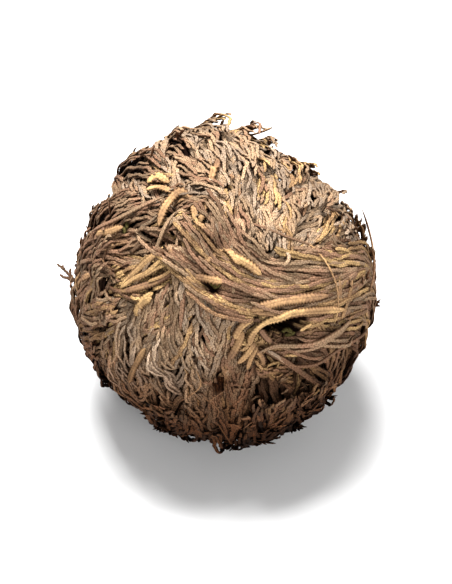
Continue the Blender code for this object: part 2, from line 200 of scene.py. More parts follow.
def direction(longitude, latitude):
    """Unit vectors from the middle of the ball, for angles in degrees."""
    lon, lat = np.radians(longitude), np.radians(latitude)
    return np.stack((np.sin(lon) * np.cos(lat), -np.cos(lon) * np.cos(lat), np.sin(lat)), axis=-1)


def unit(vectors):
    """Each vector over its length."""
    return vectors / np.maximum(np.linalg.norm(vectors, axis=-1, keepdims=True), 1e-12)


def smoothstep(x):
    """0 below 0, 1 above 1, and 3x² - 2x³ between."""
    x = np.clip(x, 0.0, 1.0)
    return x * x * (3 - 2 * x)


def spline(marks, count):
    """Catmull-Rom curve through the marks, the ends carried straight on, as count + 1 points."""
    marks = np.asarray(marks, float)
    marks = np.vstack((2 * marks[0] - marks[1], marks, 2 * marks[-1] - marks[-2]))
    at = np.minimum(np.linspace(0, len(marks) - 3, count + 1), len(marks) - 3 - 1e-9)
    first = at.astype(int)
    t = (at - first)[:, None]
    a, b, c, d = (marks[first + k] for k in range(4))
    return 0.5 * (2 * b + (c - a) * t + (2 * a - 5 * b + 4 * c - d) * t**2
                  + (3 * b - a - 3 * c + d) * t**3)


def search_tree(nodes):
    """One search tree over the triangles of these CAD nodes."""
    vertices, triangles = [], []
    for node in nodes:
        mesh = node.data
        mesh.calc_loop_triangles()
        first = len(vertices)
        vertices += [tuple(v.co) for v in mesh.vertices]
        triangles += [tuple(first + i for i in t.vertices) for t in mesh.loop_triangles]
    return BVHTree.FromPolygons(vertices, triangles)


def outer_radius(tree, aims):
    """How far out the solids reach along each direction, or nan, found from outside inwards."""
    far = 0.08
    middle = Vector(BALL_CENTRE)
    found = []
    for aim in aims.reshape(-1, 3):
        start = Vector(BALL_CENTRE + aim * far)
        hit = tree.ray_cast(start, -Vector(aim), far)[0]
        found.append(math.nan if hit is None else (hit - middle).length)
    return np.array(found).reshape(aims.shape[:-1])


def fill_gaps(grid):
    """Gives cells that are nan the mean of their neighbours, over and over until none is left."""
    grid = grid.copy()
    while np.isnan(grid).any():
        padded = np.pad(grid, 1, constant_values=np.nan)
        near = np.stack((padded[:-2, 1:-1], padded[2:, 1:-1], padded[1:-1, :-2], padded[1:-1, 2:]))
        known = np.sum(~np.isnan(near), axis=0)
        mean = np.nansum(near, axis=0) / np.maximum(known, 1)
        fill = np.isnan(grid) & (known > 0)
        grid[fill] = mean[fill]
    return grid


def soften(grid, times):
    """Averages each cell with its four neighbours."""
    for _ in range(times):
        padded = np.pad(grid, 1, mode="edge")
        grid = (2 * grid + padded[:-2, 1:-1] + padded[2:, 1:-1] + padded[1:-1, :-2]
                + padded[1:-1, 2:]) / 6
    return grid


def bilinear(grid, x, y):
    """Reads a grid at cell coordinates x and y, kept inside its edges."""
    x = np.clip(x, 0, grid.shape[0] - 1.001)
    y = np.clip(y, 0, grid.shape[1] - 1.001)
    i, j = x.astype(int), y.astype(int)
    u, v = x - i, y - j
    return ((1 - u) * (1 - v) * grid[i, j] + u * (1 - v) * grid[i + 1, j]
            + (1 - u) * v * grid[i, j + 1] + u * v * grid[i + 1, j + 1])


def spread(grid, reach, pick):
    """The least or greatest of the cells within reach of each cell, round the ball."""
    turned = pick([np.roll(grid, k, axis=0) for k in range(-reach, reach + 1)], axis=0)
    padded = np.pad(turned, ((0, 0), (reach, reach)), mode="edge")
    return pick([padded[:, k : k + grid.shape[1]] for k in range(2 * reach + 1)], axis=0)


class Outside:
    """How far out the whole plant reaches, on a grid of longitude and latitude.

    STEP is in degrees. LOOK and BRIDGE are how many cells each way are looked at for the least
    reach, and how wide a notch is bridged over.
    """

    STEP = 2.5
    LOOK = 2
    BRIDGE = 4

    def __init__(self):
        longitude = np.arange(-180, 180, self.STEP)
        latitude = np.arange(-85, 85.1, self.STEP)
        aims = direction(*np.meshgrid(longitude, latitude, indexing="ij"))
        self.radii = fill_gaps(outer_radius(search_tree(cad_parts.values()), aims))
        self.lowest = spread(self.radii, self.LOOK, np.min)
        closed = spread(spread(self.radii, self.BRIDGE, np.max), self.BRIDGE, np.min)
        self.bridged = soften(closed, 4)

    def cells(self, aims):
        """Grid coordinates of directions."""
        longitude = np.degrees(np.arctan2(aims[..., 0], -aims[..., 1]))
        latitude = np.degrees(np.arcsin(np.clip(aims[..., 2], -1, 1)))
        return (longitude + 180) / self.STEP, (latitude + 85) / self.STEP

    def at(self, aims):
        """Reach of the plant along each direction."""
        return bilinear(self.radii, *self.cells(aims))

    def near(self, aims):
        """Least reach of the plant around each direction, which tells what can be seen."""
        return bilinear(self.lowest, *self.cells(aims))

    def over_notches(self, aims):
        """Reach of the plant with the notches between fronds bridged over."""
        return bilinear(self.bridged, *self.cells(aims))


class Chart:
    """A frond's blade as a flat map: share of its length by place across, from -1 to 1."""

    ROWS = 56
    COLUMNS = 15

    def __init__(self, frond, outside, marks=None):
        self.frond = frond
        if marks is None:
            marks = frond_marks(frond)
        self.points = unit(spline(marks, PATH_SAMPLES))
        steps = np.arccos(np.clip(np.sum(self.points[1:] * self.points[:-1], axis=1), -1, 1))
        self.reach = np.concatenate(([0.0], np.cumsum(steps)))
        self.length = self.reach[-1] * BALL_RADIUS
        self.shares = self.reach / self.reach[-1]
        ahead = np.gradient(self.points, axis=0)
        self.sides = unit(np.cross(ahead, self.points))
        share, across = np.meshgrid(np.linspace(0, 1, self.ROWS), np.linspace(-1, 1, self.COLUMNS),
                                    indexing="ij")
        aims = self.aims(share, across * 0.97)
        if frond.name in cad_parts:
            own = soften(fill_gaps(outer_radius(search_tree([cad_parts[frond.name]]), aims)), 3)
            in_open_air = outside.at(aims) - own < OPEN_AIR
            notch = np.clip(outside.over_notches(aims) - outside.at(aims), 0, DEEPEST_NOTCH)
            fill = FRINGE_FILL if frond.habit is FRINGE else NOTCH_FILL
            self.radii = own + soften(np.where(in_open_air, fill * notch, 0), 3)
            self.cover = outside.near
        else:
            self.radii = outside.over_notches(aims) - frond.habit.depth
            self.cover = outside.at

    def half_width(self, share):
        """A thin stalk that opens into a fan and draws in again at the tip."""
        fan = self.frond.fan
        stalk = STALK_HALF_WIDTH * (1 + 0.6 * np.clip(share / fan, 0, 1))
        width = stalk + (self.frond.half_width - stalk) * smoothstep((share - fan) / FAN_OPENING)
        return width * (1 - TIP_TAPER * smoothstep((share - 0.72) / 0.28))

    def aims(self, share, across):
        """Directions from the middle of the ball: the middle line's, turned sideways."""
        inside = np.clip(share, 0, 1)
        point = unit(np.stack([np.interp(inside, self.shares, self.points[:, k]) for k in range(3)], -1))
        side = unit(np.stack([np.interp(inside, self.shares, self.sides[:, k]) for k in range(3)], -1))
        ahead = unit(np.cross(point, side))
        past = ((share - inside) * self.reach[-1])[..., None]
        turn = (across * self.half_width(inside) / BALL_RADIUS)[..., None]
        return unit(point * np.cos(turn) + side * np.sin(turn) + ahead * past)

    def radius(self, share, across):
        """Distance from the middle of the ball to the blade's outer surface."""
        return bilinear(self.radii, share * (self.ROWS - 1), (across + 1) / 2 * (self.COLUMNS - 1))


# A section's points, from its left edge over its back and round: place across, height, and how
# far round they are. The back's middle is at a quarter of the way.
SCALY_SECTION = ((-1.0, 0.0, 0.0), (-0.5, 0.8, 0.125), (0.5, 0.8, 0.375), (1.0, 0.0, 0.5),
                 (0.0, -0.8, 0.75))
BLADE_SECTION = ((-1.0, -0.3, 0.0), (-0.5, 0.5, 0.125), (0.0, 1.0, 0.25), (0.5, 0.5, 0.375),
                 (1.0, -0.3, 0.5), (0.5, -0.35, 0.625), (0.0, 0.1, 0.75), (-0.5, -0.35, 0.875))
ROUND_SECTION = tuple((-math.cos(math.tau * k / 5), math.sin(math.tau * k / 5), k / 5) for k in range(5))

# The rings of many strands, laid end to end. strand numbers the strands, and every array has
# one row a ring. gone is the way along the strand. hue, light and the painted shade of depth are
# what the materials read: that shade is darker the deeper a ring lies under the plant's outside.
Rings = namedtuple("Rings", "strand centre up half_width half_height gone hue light age")


def single_strand(centre, up, half_width, half_height, gone, hue, light, age):
    """The rings of one strand, whose hue, light and painted shade may be plain numbers."""
    flat = np.zeros(len(centre))
    return Rings(flat.astype(int), centre, up, half_width, half_height, gone, flat + hue, flat + light,
                 flat + age)


def join(many):
    """Several single strands as one set of rings."""
    strand = np.concatenate([np.full(len(rings.strand), k) for k, rings in enumerate(many)])
    return Rings(strand, *(np.concatenate(values) for values in list(zip(*many))[1:]))


def ring_number(strand):
    """Counts the rings of each strand from 0."""
    index = np.arange(len(strand))
    starts = np.concatenate(([True], strand[1:] != strand[:-1]))
    return index - np.maximum.accumulate(np.where(starts, index, 0))


def quads_between(rows, size):
    """Faces from each of these rings of points to the next one, with size points a ring."""
    row, k = rows[:, None], np.arange(size)[None, :]
    k_next = (k + 1) % size
    corners = (row * size + k, row * size + k_next, (row + 1) * size + k_next, (row + 1) * size + k)
    return np.stack(corners, axis=-1).reshape(-1, 4)


def sweep(rings, section, scaly=0.0):
    """Carries a section along each strand, as (vertices, faces, UVs, data) for new_mesh.

    A vertex is centre + side * x * half_width + up * z * half_height, where (x, z) is the
    section's point and side is the direction of travel crossed with up. scaly is how much
    further out the left edge stands on even rings and the right edge on odd ones, and less so
    further in, which makes scale leaves by turns.
    """
    index = np.arange(len(rings.strand))
    same = rings.strand[1:] == rings.strand[:-1]
    follows, leads = np.append(same, False), np.append(False, same)
    ahead = unit(rings.centre[index + follows] - rings.centre[index - leads])
    up = unit(rings.up - ahead * np.sum(rings.up * ahead, axis=1, keepdims=True))
    side = np.cross(ahead, up)
    turn = np.where(ring_number(rings.strand) % 2 == 0, -1.0, 1.0)[:, None]
    x, z, round_by = np.array(section).T
    push = 1 + scaly * x * turn
    across = x * push * rings.half_width[:, None]
    over = z * (1 + 0.6 * (push - 1)) * rings.half_height[:, None]
    vertices = rings.centre[:, None] + side[:, None] * across[..., None] + up[:, None] * over[..., None]

    size, rows = len(section), np.flatnonzero(follows)
    along = rings.gone / settings().leaf_pitch
    first, last = along[rows, None], along[rows + 1, None]
    left, right = round_by, np.append(round_by[1:], 1.0)
    corners = ((first, left), (first, right), (last, right), (last, left))
    quad_uvs = np.stack([np.stack(np.broadcast_arrays(*corner), -1) for corner in corners], axis=-2)
    starts, ends = np.flatnonzero(~leads), np.flatnonzero(~follows)
    k = np.arange(size)
    caps = np.vstack((starts[:, None] * size + k[::-1], ends[:, None] * size + k))
    cap_along = np.repeat(along[np.concatenate((starts, ends))], size)
    cap_uvs = np.stack((cap_along, np.full_like(cap_along, 0.25)), axis=-1)
    data = np.stack((rings.hue, rings.light, rings.age, np.ones(len(index))), -1)
    return (vertices.reshape(-1, 3), (quads_between(rows, size), caps), (quad_uvs.reshape(-1, 2), cap_uvs),
            np.repeat(data, size, axis=0))


def new_mesh(name, parts):
    """One mesh object from parts, its arrays put in whole.

    A part is (vertices, groups of faces of one size, their corners' UVs, data per vertex).
    """
    vertices, loops, starts, uvs, data = [], [], [], [], []
    vertex_count = loop_count = 0
    for part_vertices, groups, part_uvs, part_data in parts:
        for faces, uv in zip(groups, part_uvs):
            loops.append((faces + vertex_count).ravel())
            starts.append(loop_count + np.arange(len(faces)) * faces.shape[1])
            loop_count += faces.size
            uvs.append(uv)
        vertices.append(part_vertices)
        data.append(part_data)
        vertex_count += len(part_vertices)
    mesh = bpy.data.meshes.new(name)
    mesh.vertices.add(vertex_count)
    mesh.vertices.foreach_set("co", np.concatenate(vertices).astype(np.float32).ravel())
    loops, starts = np.concatenate(loops), np.concatenate(starts)
    mesh.loops.add(len(loops))
    mesh.loops.foreach_set("vertex_index", loops.astype(np.int32))
    mesh.polygons.add(len(starts))
    mesh.polygons.foreach_set("loop_start", starts.astype(np.int32))
    mesh.update(calc_edges=True)
    layer = mesh.uv_layers.new(name="along")
    layer.uv.foreach_set("vector", np.concatenate(uvs).astype(np.float32).ravel())
    # Per vertex: hue, lightness and painted shade, then 1.
    grown = mesh.attributes.new("grown", "FLOAT_COLOR", "POINT")
    grown.data.foreach_set("color", np.concatenate(data).astype(np.float32).ravel())
    if mesh.validate():
        raise RuntimeError(f"{name} had faces that Blender had to mend")
    mesh.shade_smooth()
    obj = bpy.data.objects.new(name, mesh)
    bpy.context.scene.collection.objects.link(obj)
    return obj


def finish(obj, material, nodes=()):
    """Gives a piece its material and slot, puts it on the root body, and hides the solids that it stands in
    for.
    """
    obj.data.materials.append(material)
    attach(obj, "root")
    if nodes:
        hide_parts(*nodes)


def rounded_end(left, half_width):
    """1 along a strand and a quarter circle at its end, where left is the length still to go."""
    short_by = 1 - np.clip(left / (1.8 * half_width), 0, 1)
    return np.sqrt(np.clip(1 - short_by**2, 0.06, 1))


# Branchlets of a frond, one row of each array a branchlet. A branchlet follows a guiding branch,
# which leaves the middle stem at share start, runs on for reach and ends at place across. The
# branchlet leaves its guide at begin and keeps beside it for part of its length, offset aside.
Branchlets = namedtuple(
    "Branchlets", "start reach across bend begin part offset half_width lift tip hue light")


def grow(chart, habit, tone, rng):
    """The branchlets of one frond.

    Side branchlets leave the middle stem by turns, left and right, and bend forward until they
    reach the border of the fan. Twigs fork off those, also by turns.
    """
    spacing = habit.spacing / chart.length
    steps = np.arange(0.5 * chart.frond.fan, 0.985, spacing)
    start = np.concatenate((steps, steps + spacing / 2))
    side = np.repeat((-1.0, 1.0), len(steps))
    count = len(start)
    start = start + rng.normal(0, 0.15 * spacing, count)
    full_reach = habit.reach / chart.length
    reach = np.minimum(full_reach * rng.uniform(0.8, 1.2, count), 1 - start + rng.uniform(0, 0.05, count))
    reach = np.maximum(reach, 0.0025 / chart.length)
    across = side * habit.spill * rng.uniform(0.66, 1.0, count)
    across = across * np.clip(reach / full_reach, 0.2, 1) ** 0.5
    sides = dict(
        start=start, reach=reach, across=across, bend=rng.uniform(1.05, 1.4, count),
        begin=np.zeros(count), part=np.ones(count), offset=np.zeros(count),
        half_width=habit.width * rng.uniform(0.85, 1.15, count), lift=rng.normal(0, 0.00022, count),
        tip=habit.tip * rng.uniform(0.3, 1.7, count),
        hue=np.where(rng.random(count) < habit.golden, rng.uniform(0.8, 1, count),
                     tone.hue + rng.normal(0, 0.13, count)),
        light=tone.light + rng.normal(0, 0.14, count))

    guide = np.repeat(np.flatnonzero(reach * chart.length > 0.006), habit.twigs)
    number = np.arange(len(guide)) % max(habit.twigs, 1)
    forks = {name: values[guide] for name, values in sides.items()}
    size = len(guide)
    forks["begin"] = 0.06 + 0.82 * (number + rng.uniform(0.1, 0.9, size)) / max(habit.twigs, 1)
    forks["part"] = np.minimum(rng.uniform(0.24, 0.46, size), 1.12 - forks["begin"])
    turn = np.where((number + guide) % 2 == 0, 1.0, -1.0)
    forks["offset"] = turn * rng.uniform(0.0007, 0.0014, size)
    forks["half_width"] = habit.width * rng.uniform(0.72, 0.98, size)
    forks["lift"] = forks["lift"] + rng.normal(0, 0.0003, size)
    forks["tip"] = habit.tip * rng.uniform(0.3, 1.9, size)
    forks["hue"] = forks["hue"] + rng.normal(0, 0.05, size)
    forks["light"] = forks["light"] + rng.normal(0, 0.07, size)

    stem = dict(start=0.0, reach=1.0, across=0.0, bend=1.0, begin=0.0, part=1.0, offset=0.0,
                half_width=1.3 * habit.width, lift=0.0, tip=0.5 * habit.tip, hue=tone.hue, light=tone.light)
    return Branchlets(**{name: np.concatenate(([stem[name]], sides[name], forks[name])) for name in stem})


def trace(chart, grown, t):
    """Share of the frond and place across for each branchlet at parts t of its own length."""
    at = grown.begin[:, None] + grown.part[:, None] * t
    share = grown.start[:, None] + grown.reach[:, None] * at
    bent = 1 - (1 - np.clip(at, 0, 1)) ** grown.bend[:, None]
    aside = grown.offset[:, None] * smoothstep(t / 0.6) / chart.half_width(np.clip(share, 0, 1))
    return share, grown.across[:, None] * bent + aside


def frond_rings(chart, grown, outside, rng):
    """The rings of a frond's branchlets, without those that lie out of sight.

    A ring's place is the frond's direction at its share and place across, out to the blade's
    surface. On top of that it sways and rises in slow waves, dips where it leaves its guide,
    and its tip rises with the cube of the part along it. Where they crowd on the stalk, some
    branchlets stand higher than others.
    """
    habit = chart.frond.habit
    pitch = settings().ring_pitch * habit.coarse
    samples = np.linspace(0, 1, 7)[None, :]
    share, across = trace(chart, grown, samples)
    aims = chart.aims(share, across)
    radius = chart.radius(share, across)
    seen = (chart.cover(aims) - radius < habit.hidden).any(axis=1)
    places = aims * radius[..., None]
    lengths = np.linalg.norm(np.diff(places, axis=1), axis=2).sum(axis=1)
    keep = np.flatnonzero(seen & (lengths > 0.0015))
    grown = Branchlets(*(values[keep] for values in grown))
    lengths = lengths[keep]

    counts = np.maximum(4, np.round(lengths / pitch).astype(int)) + 1
    strand = np.repeat(np.arange(len(keep)), counts)
    t = ring_number(strand) / (counts[strand] - 1)
    one = Branchlets(*(values[strand] for values in grown))
    done, length = t * lengths[strand], lengths[strand]
    share, across = (values[:, 0] for values in trace(chart, one, t[:, None]))
    wave = rng.uniform(0, math.tau, (4, len(keep)))[:, strand]
    width = chart.half_width(np.clip(share, 0, 1))
    away = smoothstep(done / 0.004)
    sway = away * habit.sway * SWAY * (np.sin(wave[0] + done * math.tau / 0.009)
                                       + 0.6 * np.sin(wave[1] + done * math.tau / 0.004))
    rise = away * habit.sway * (0.6 * RISE * np.sin(wave[2] + done * math.tau / 0.011)
                                + 0.4 * RISE * np.sin(wave[3] + done * math.tau / 0.005))
    aims = chart.aims(share, across + sway / width)
    thin = 1.06 - 0.2 * t
    end = rounded_end(length - done, one.half_width)
    half_width = one.half_width * thin * end
    half_height = HEIGHT_TO_WIDTH * half_width
    crowded = 1 - smoothstep((share - chart.frond.fan) / FAN_OPENING)
    rise = rise + STALK_RISE * crowded * away * np.sin(wave[0])
    radius = (chart.radius(share, across) - HEIGHT_TO_WIDTH * one.half_width + one.lift + rise
              + one.tip * t**3 - 0.0003 * (1 - away))
    seen = chart.cover(aims) - radius < habit.hidden
    radius = radius - pit_depth(aims)
    # Painted shade: the deeper a ring lies under the plant's outside, the darker it is drawn.
    age = np.clip((outside.at(aims) - radius) / DARK_DEPTH, 0, 1)
    rings = Rings(strand, BALL_CENTRE + aims * radius[:, None], aims, half_width, half_height, done, one.hue,
                  one.light + 0.10 * (t - 0.5), age)
    return in_sight(rings, seen)


def pit_depth(aims):
    """How far branchlets sink into the dark pits: a bell round the middle of each pit."""
    depth = np.zeros(aims.shape[:-1])
    for pit in PITS:
        off = np.degrees(np.arccos(np.clip(aims @ direction(pit.longitude, pit.latitude), -1, 1)))
        depth += pit.depth * np.exp(-((off / pit.width) ** 2))
    return depth


def in_sight(rings, seen):
    """Only the stretches of strands that are seen, with two rings more at either end."""
    strand = rings.strand
    for _ in range(2):
        same = strand[1:] == strand[:-1]
        seen = seen | np.append(seen[1:] & same, False) | np.append(False, seen[:-1] & same)
    starts = np.concatenate(([True], (strand[1:] != strand[:-1]) | (seen[1:] != seen[:-1])))
    run = np.cumsum(starts) - 1
    kept = seen & (np.bincount(run)[run] > 3)
    return Rings(run[kept], *(values[kept] for values in rings[1:]))


# A frond's mean hue, from 0 grey over beige, rosy brown and tan to 1 golden, and its lightness.
Tone = namedtuple("Tone", "hue light")
TONES = {
    "frond_grey": Tone(0.22, 0.95),
    "frond_tan": Tone(0.44, 0.80),
    "frond_gold": Tone(0.90, 1.00),
    "frond_brown": Tone(0.50, 0.62),
    # The dark tone of the inner, deep and low fronds is partly painted shade in the plant's hollows.
    "frond_dark": Tone(0.55, 0.36),
}

# Fronds whose tone is not that of their slot.
OWN_TONES = {
    "frond_right_3": Tone(0.50, 0.80),
    "frond_right_4": Tone(0.62, 1.00),
    "frond_right_5": Tone(0.55, 0.84),
    "frond_right_7": Tone(0.70, 0.88),
    "frond_front_5": Tone(0.50, 0.78),
    "frond_front_6": Tone(0.50, 0.82),
    "frond_left_1": Tone(0.48, 0.82),
    "frond_low_1": Tone(0.55, 0.52),
    "frond_low_2": Tone(0.55, 0.46),
    "frond_low_3": Tone(0.55, 0.52),
}

# How branchlets lie: how far they sway aside, how far they rise along the way and on the stalk,
# how thick they are against their width, and how deep under the outside their painted shade is darkest.
SWAY = 0.00017
RISE = 0.00042
STALK_RISE = 0.00075
HEIGHT_TO_WIDTH = 0.62
DARK_DEPTH = 0.0022

# Dark pits between the fronds: where each is, its angular width and its depth.
Pit = namedtuple("Pit", "longitude latitude width depth")
PITS = (
    Pit(23, 25, 4.2, 0.0080), Pit(30, 25, 4.4, 0.0085), Pit(35, 26, 2.6, 0.0040),
    Pit(-42, 40, 2.0, 0.0034), Pit(-37, 44, 2.0, 0.0034), Pit(-37, 51, 2.2, 0.0034),
    Pit(-40, 34, 2.0, 0.0026), Pit(15, 32, 1.8, 0.0030), Pit(16, 17, 2.2, 0.0036), Pit(-58, 66, 2.6, 0.0036),
    Pit(-38, 54, 2.4, 0.0030), Pit(10, 12, 3.4, 0.0040), Pit(13, 23, 2.6, 0.0030),
    Pit(-7, 45, 3.2, 0.0040), Pit(-31, -3, 2.4, 0.0026), Pit(-41, 37, 2.4, 0.0030),
    Pit(38, 2, 3.0, 0.0026), Pit(-2, -1, 3.6, 0.0030), Pit(-20, 6, 2.0, 0.0020),
    Pit(20, 10, 3.0, 0.0034), Pit(-39, 70, 2.0, 0.0024), Pit(8, 6, 3.0, 0.0030),
)

# Small curled leaf buds that are still olive, each by the longitudes and latitudes it passes.
BUD_HALF_WIDTH = 0.0007
BUD_DEPTH = 0.0010
BUDS = (
    ((-8, 47), (-5, 46), (-3, 48)), ((-6, 45), (-3, 46), (-2, 49)), ((27, 22), (29, 23), (31, 21)),
    ((28, 20), (30, 20), (32, 21)), ((38, 31), (41, 30), (44, 31)), ((-90, 66), (-87, 67), (-84, 66)),
    ((-79, 48), (-76, 49), (-73, 48)), ((-77, 46), (-74, 47), (-72, 46)),
)

# Folded golden blades: half width, hue, lightness, how far they are tipped on their side in
# degrees, how high they lie, and the longitudes and latitudes that they pass over.
FOLD_LEAF_CONTRAST = 0.15
Fold = namedtuple("Fold", "half_width hue light tipped lift path")
FOLDS = (
    Fold(0.0010, 0.92, 1.15, 25, 0.0010, ((-53, 31), (-50, 39), (-47, 46), (-42, 54))),
    Fold(0.0007, 0.95, 1.20, 0, 0.0014, ((-52, 32), (-48, 38), (-43, 43), (-38, 51))),
    Fold(0.0007, 0.90, 1.10, -15, 0.0012, ((-49, 36), (-43, 42), (-38, 47), (-31, 51))),
    Fold(0.0011, 0.66, 0.85, -15, 0.0010, ((-52, 30), (-44, 36), (-36, 42), (-30, 48), (-24, 57))),
    Fold(0.0005, 0.90, 1.15, 20, 0.0017, ((-40, 40), (-33, 45), (-28, 51))),
    Fold(0.0008, 0.90, 1.05, 20, 0.0006, ((-42, 29), (-39, 34), (-36, 37))),
    Fold(0.0012, 0.78, 1.05, 30, 0.0010, ((-52, 59), (-61, 66), (-66, 73), (-42, 73), (-28, 67))),
    Fold(0.0012, 0.70, 1.00, -15, 0.0005, ((-25, 67), (-30, 75), (-95, 86), (-172, 79))),
    Fold(0.0012, 0.90, 0.95, 20, 0.0004, ((-97, 61), (-101, 65), (-88, 70))),
    Fold(0.0011, 0.85, 1.00, -20, 0.0004, ((-90, 61), (-87, 66), (-71, 71))),
    Fold(0.0012, 0.75, 0.95, 15, 0.0005, ((-84, 35), (-78, 41), (-73, 48))),
    Fold(0.0012, 0.82, 1.05, -10, 0.0006, ((-14, 52), (-8, 56), (1, 60))),
    Fold(0.0012, 0.75, 1.00, 15, 0.0006, ((-16, 48), (-9, 48), (0, 47))),
    Fold(0.0013, 0.85, 1.00, 20, 0.0007, ((5, 56), (13, 53), (20, 48))),
    Fold(0.0011, 0.78, 1.05, -20, 0.0006, ((-2, 61), (5, 57), (9, 53))),
    Fold(0.0014, 0.72, 1.00, -15, 0.0007, ((12, 36), (24, 37), (35, 35), (49, 30))),
    Fold(0.0012, 0.88, 1.10, 22, 0.0016, ((11, 20), (13, 25), (18, 30), (25, 31), (32, 32))),
    Fold(0.0011, 0.84, 1.05, 15, 0.0015, ((21, 31), (31, 31), (43, 27), (54, 21))),
    Fold(0.0007, 0.70, 0.90, -10, 0.0010, ((14, 35), (19, 34), (27, 31), (40, 28))),
    Fold(0.0007, 0.85, 1.05, 15, 0.0000, ((33, 22), (37, 23), (42, 21))),
    Fold(0.0009, 0.55, 0.85, 20, 0.0004, ((17, 26), (19, 22), (22, 18))),
    Fold(0.0009, 0.66, 0.85, -15, 0.0004, ((15, 16), (17, 11), (17, 6))),
    Fold(0.0008, 0.72, 0.90, 15, 0.0004, ((15, 18), (12, 13), (10, 7))),
    Fold(0.0010, 0.76, 1.00, 10, 0.0006, ((14, 20), (10, 15), (6, 11))),
    Fold(0.0010, 0.80, 1.00, 10, 0.0001, ((53, 17), (59, 21), (66, 26))),
    Fold(0.0010, 0.75, 0.95, -10, 0.0001, ((49, 19), (55, 25), (59, 31))),
    Fold(0.0013, 0.85, 0.90, 20, 0.0005, ((-41, 25), (-40, 31), (-36, 35))),
    Fold(0.0011, 0.80, 0.80, -20, 0.0004, ((-39, -6), (-36, 5), (-33, 14))),
    Fold(0.0013, 0.80, 0.95, 15, 0.0006, ((5, 23), (8, 29), (13, 33))),
    Fold(0.0012, 0.72, 0.90, -15, 0.0005, ((2, 13), (6, 20), (9, 26))),
)

# Stray stems and cords that cross the fronds. Each place is a longitude, a latitude and a height
# in millimetres over the plant's outside.
Stray = namedtuple("Stray", "half_width hue light path")
STRAYS = (
    Stray(0.00036, 0.52, 0.80, ((22, 69, 0.2), (38, 62, 1.0), (48, 55, 1.3), (57, 48, 1.0))),
    Stray(0.00030, 0.80, 1.25, ((54, 52, 0.4), (56, 46, 1.3), (54, 32, 1.4), (51, 24, 1.3), (48, 18, 0.6))),
    Stray(0.00050, 0.70, 0.95, ((72, 12, 0.0), (89, 15, 1.2), (104, 14, 2.2), (112, 21, 3.2))),
    Stray(0.00070, 0.40, 0.90, ((-89, 32, 0.1), (-81, 45, 0.6), (-76, 56, 0.6), (-73, 67, 0.2))),
    Stray(0.00065, 0.30, 0.95, ((-49, 28, 0.0), (-46, 42, 0.5), (-47, 56, 0.6), (-51, 67, 0.3))),
    Stray(0.00070, 0.45, 0.95, ((-19, 27, 0.0), (-21, 42, 0.6), (-29, 52, 0.7), (-34, 59, 0.3))),
    Stray(0.00065, 0.40, 1.00, ((-5, 39, 0.1), (-15, 45, 0.6), (-27, 52, 0.7))),
    Stray(0.00040, 0.30, 1.00, ((-37, 62, 0.6), (-29, 52, 1.6), (-22, 44, 1.4), (-15, 38, 0.6))),
    Stray(0.00020, 0.66, 1.00, ((-18, -7, 0.4), (-13, -1, 1.3), (-9, 4, 1.5), (-11, 11, 0.8))),
    Stray(0.00018, 0.62, 1.00, ((-9, -1, 0.5), (-6, -4, 1.5), (-3, -2, 1.6), (2, -1, 0.6))),
    Stray(0.00018, 0.75, 1.10, ((-3, -16, 0.5), (0, -21, 1.6), (3, -27, 2.2))),
    Stray(0.00016, 0.62, 1.00, ((-10, -10, 0.4), (-4, -12, 1.8), (-2, -8, 2.0), (-6, -5, 1.0))),
    Stray(0.00036, 0.30, 1.00, ((-26, 49, 1.3), (-26, 44, 1.2), (-28, 40, 0.4))),
    Stray(0.00036, 0.35, 0.95, ((-22, 44, 1.2), (-17, 43, 1.3), (-11, 39, 0.5))),
    Stray(0.00078, 0.40, 0.95, ((58, 13, 0.0), (50, 14, 1.0), (40, 15, 1.4), (30, 16, 1.5), (22, 17, 1.2),
                                (15, 15, 0.6))),
    Stray(0.00055, 0.35, 0.90, ((54, 11, 0.0), (43, 13, 1.0), (33, 13, 1.2), (29, 12, 0.2))),
    Stray(0.00055, 0.12, 1.00, ((19, 16, 1.4), (23, 12, 1.2), (26, 8, 0.9), (31, 1, 0.2))),
    Stray(0.00055, 0.50, 0.85, ((22, 19, 1.2), (29, 13, 1.0), (36, 8, 0.6), (44, 5, 0.0))),
    Stray(0.00060, 0.55, 0.75, ((71, -3, 0.0), (52, 5, 0.8), (38, 5, 1.0), (26, 4, 0.4))),
    Stray(0.00065, 0.50, 0.60, ((45, -14, 0.0), (32, 2, 0.8), (24, 11, 1.0), (17, 16, 0.5))),
    Stray(0.00060, 0.50, 0.60, ((52, -9, 0.0), (44, -12, 0.8), (33, 0, 1.0), (23, 11, 0.8), (16, 17, 0.3))),
)

# The forked twig that juts out at the left, square to a line of sight that comes down at 45
# degrees from the front: each prong passes these places left of the ball's middle and up.
FORKED_TWIG_HALF_WIDTH = 0.00042
FORKED_TWIG_PRONGS = (
    ((0.0362, -0.0012), (0.0383, 0.0009), (0.0400, 0.0026), (0.0420, 0.0048), (0.0441, 0.0065)),
    ((0.0390, 0.0016), (0.0402, 0.0030), (0.0405, 0.0042), (0.0404, 0.0053)),
    ((0.0396, 0.0018), (0.0412, 0.0027), (0.0423, 0.0029), (0.0433, 0.0038)),
    ((0.0421, 0.0049), (0.0425, 0.0055), (0.0423, 0.0062)),
)

# Short forked twigs that stand off the ball: how many, the longitudes and latitudes between
# which they leave it, how far their headings stray from straight up in degrees, and the ranges
# of their lengths, of how far their tips rise and of their lightness.
TwigGroup = namedtuple("TwigGroup", "name count longitudes latitudes stray length rise light")
TWIG_GROUPS = (
    TwigGroup("loose_twigs", 80, (-180, 180), (-20, 67), 40, (0.004, 0.009), (0.0004, 0.0028),
              (0.45, 0.85)),
    TwigGroup("low_twigs", 150, (-34, 58), (-42, -4), 36, (0.003, 0.007), (0.0002, 0.0018), (0.70, 1.25)),
)
# How deep under the plant's outside a twig starts, and the angles of its two forks in degrees.
TWIG_START_DEPTH = 0.0012
TWIG_FORKS = (26, 34)
TWIG_HALF_WIDTH = 0.00046

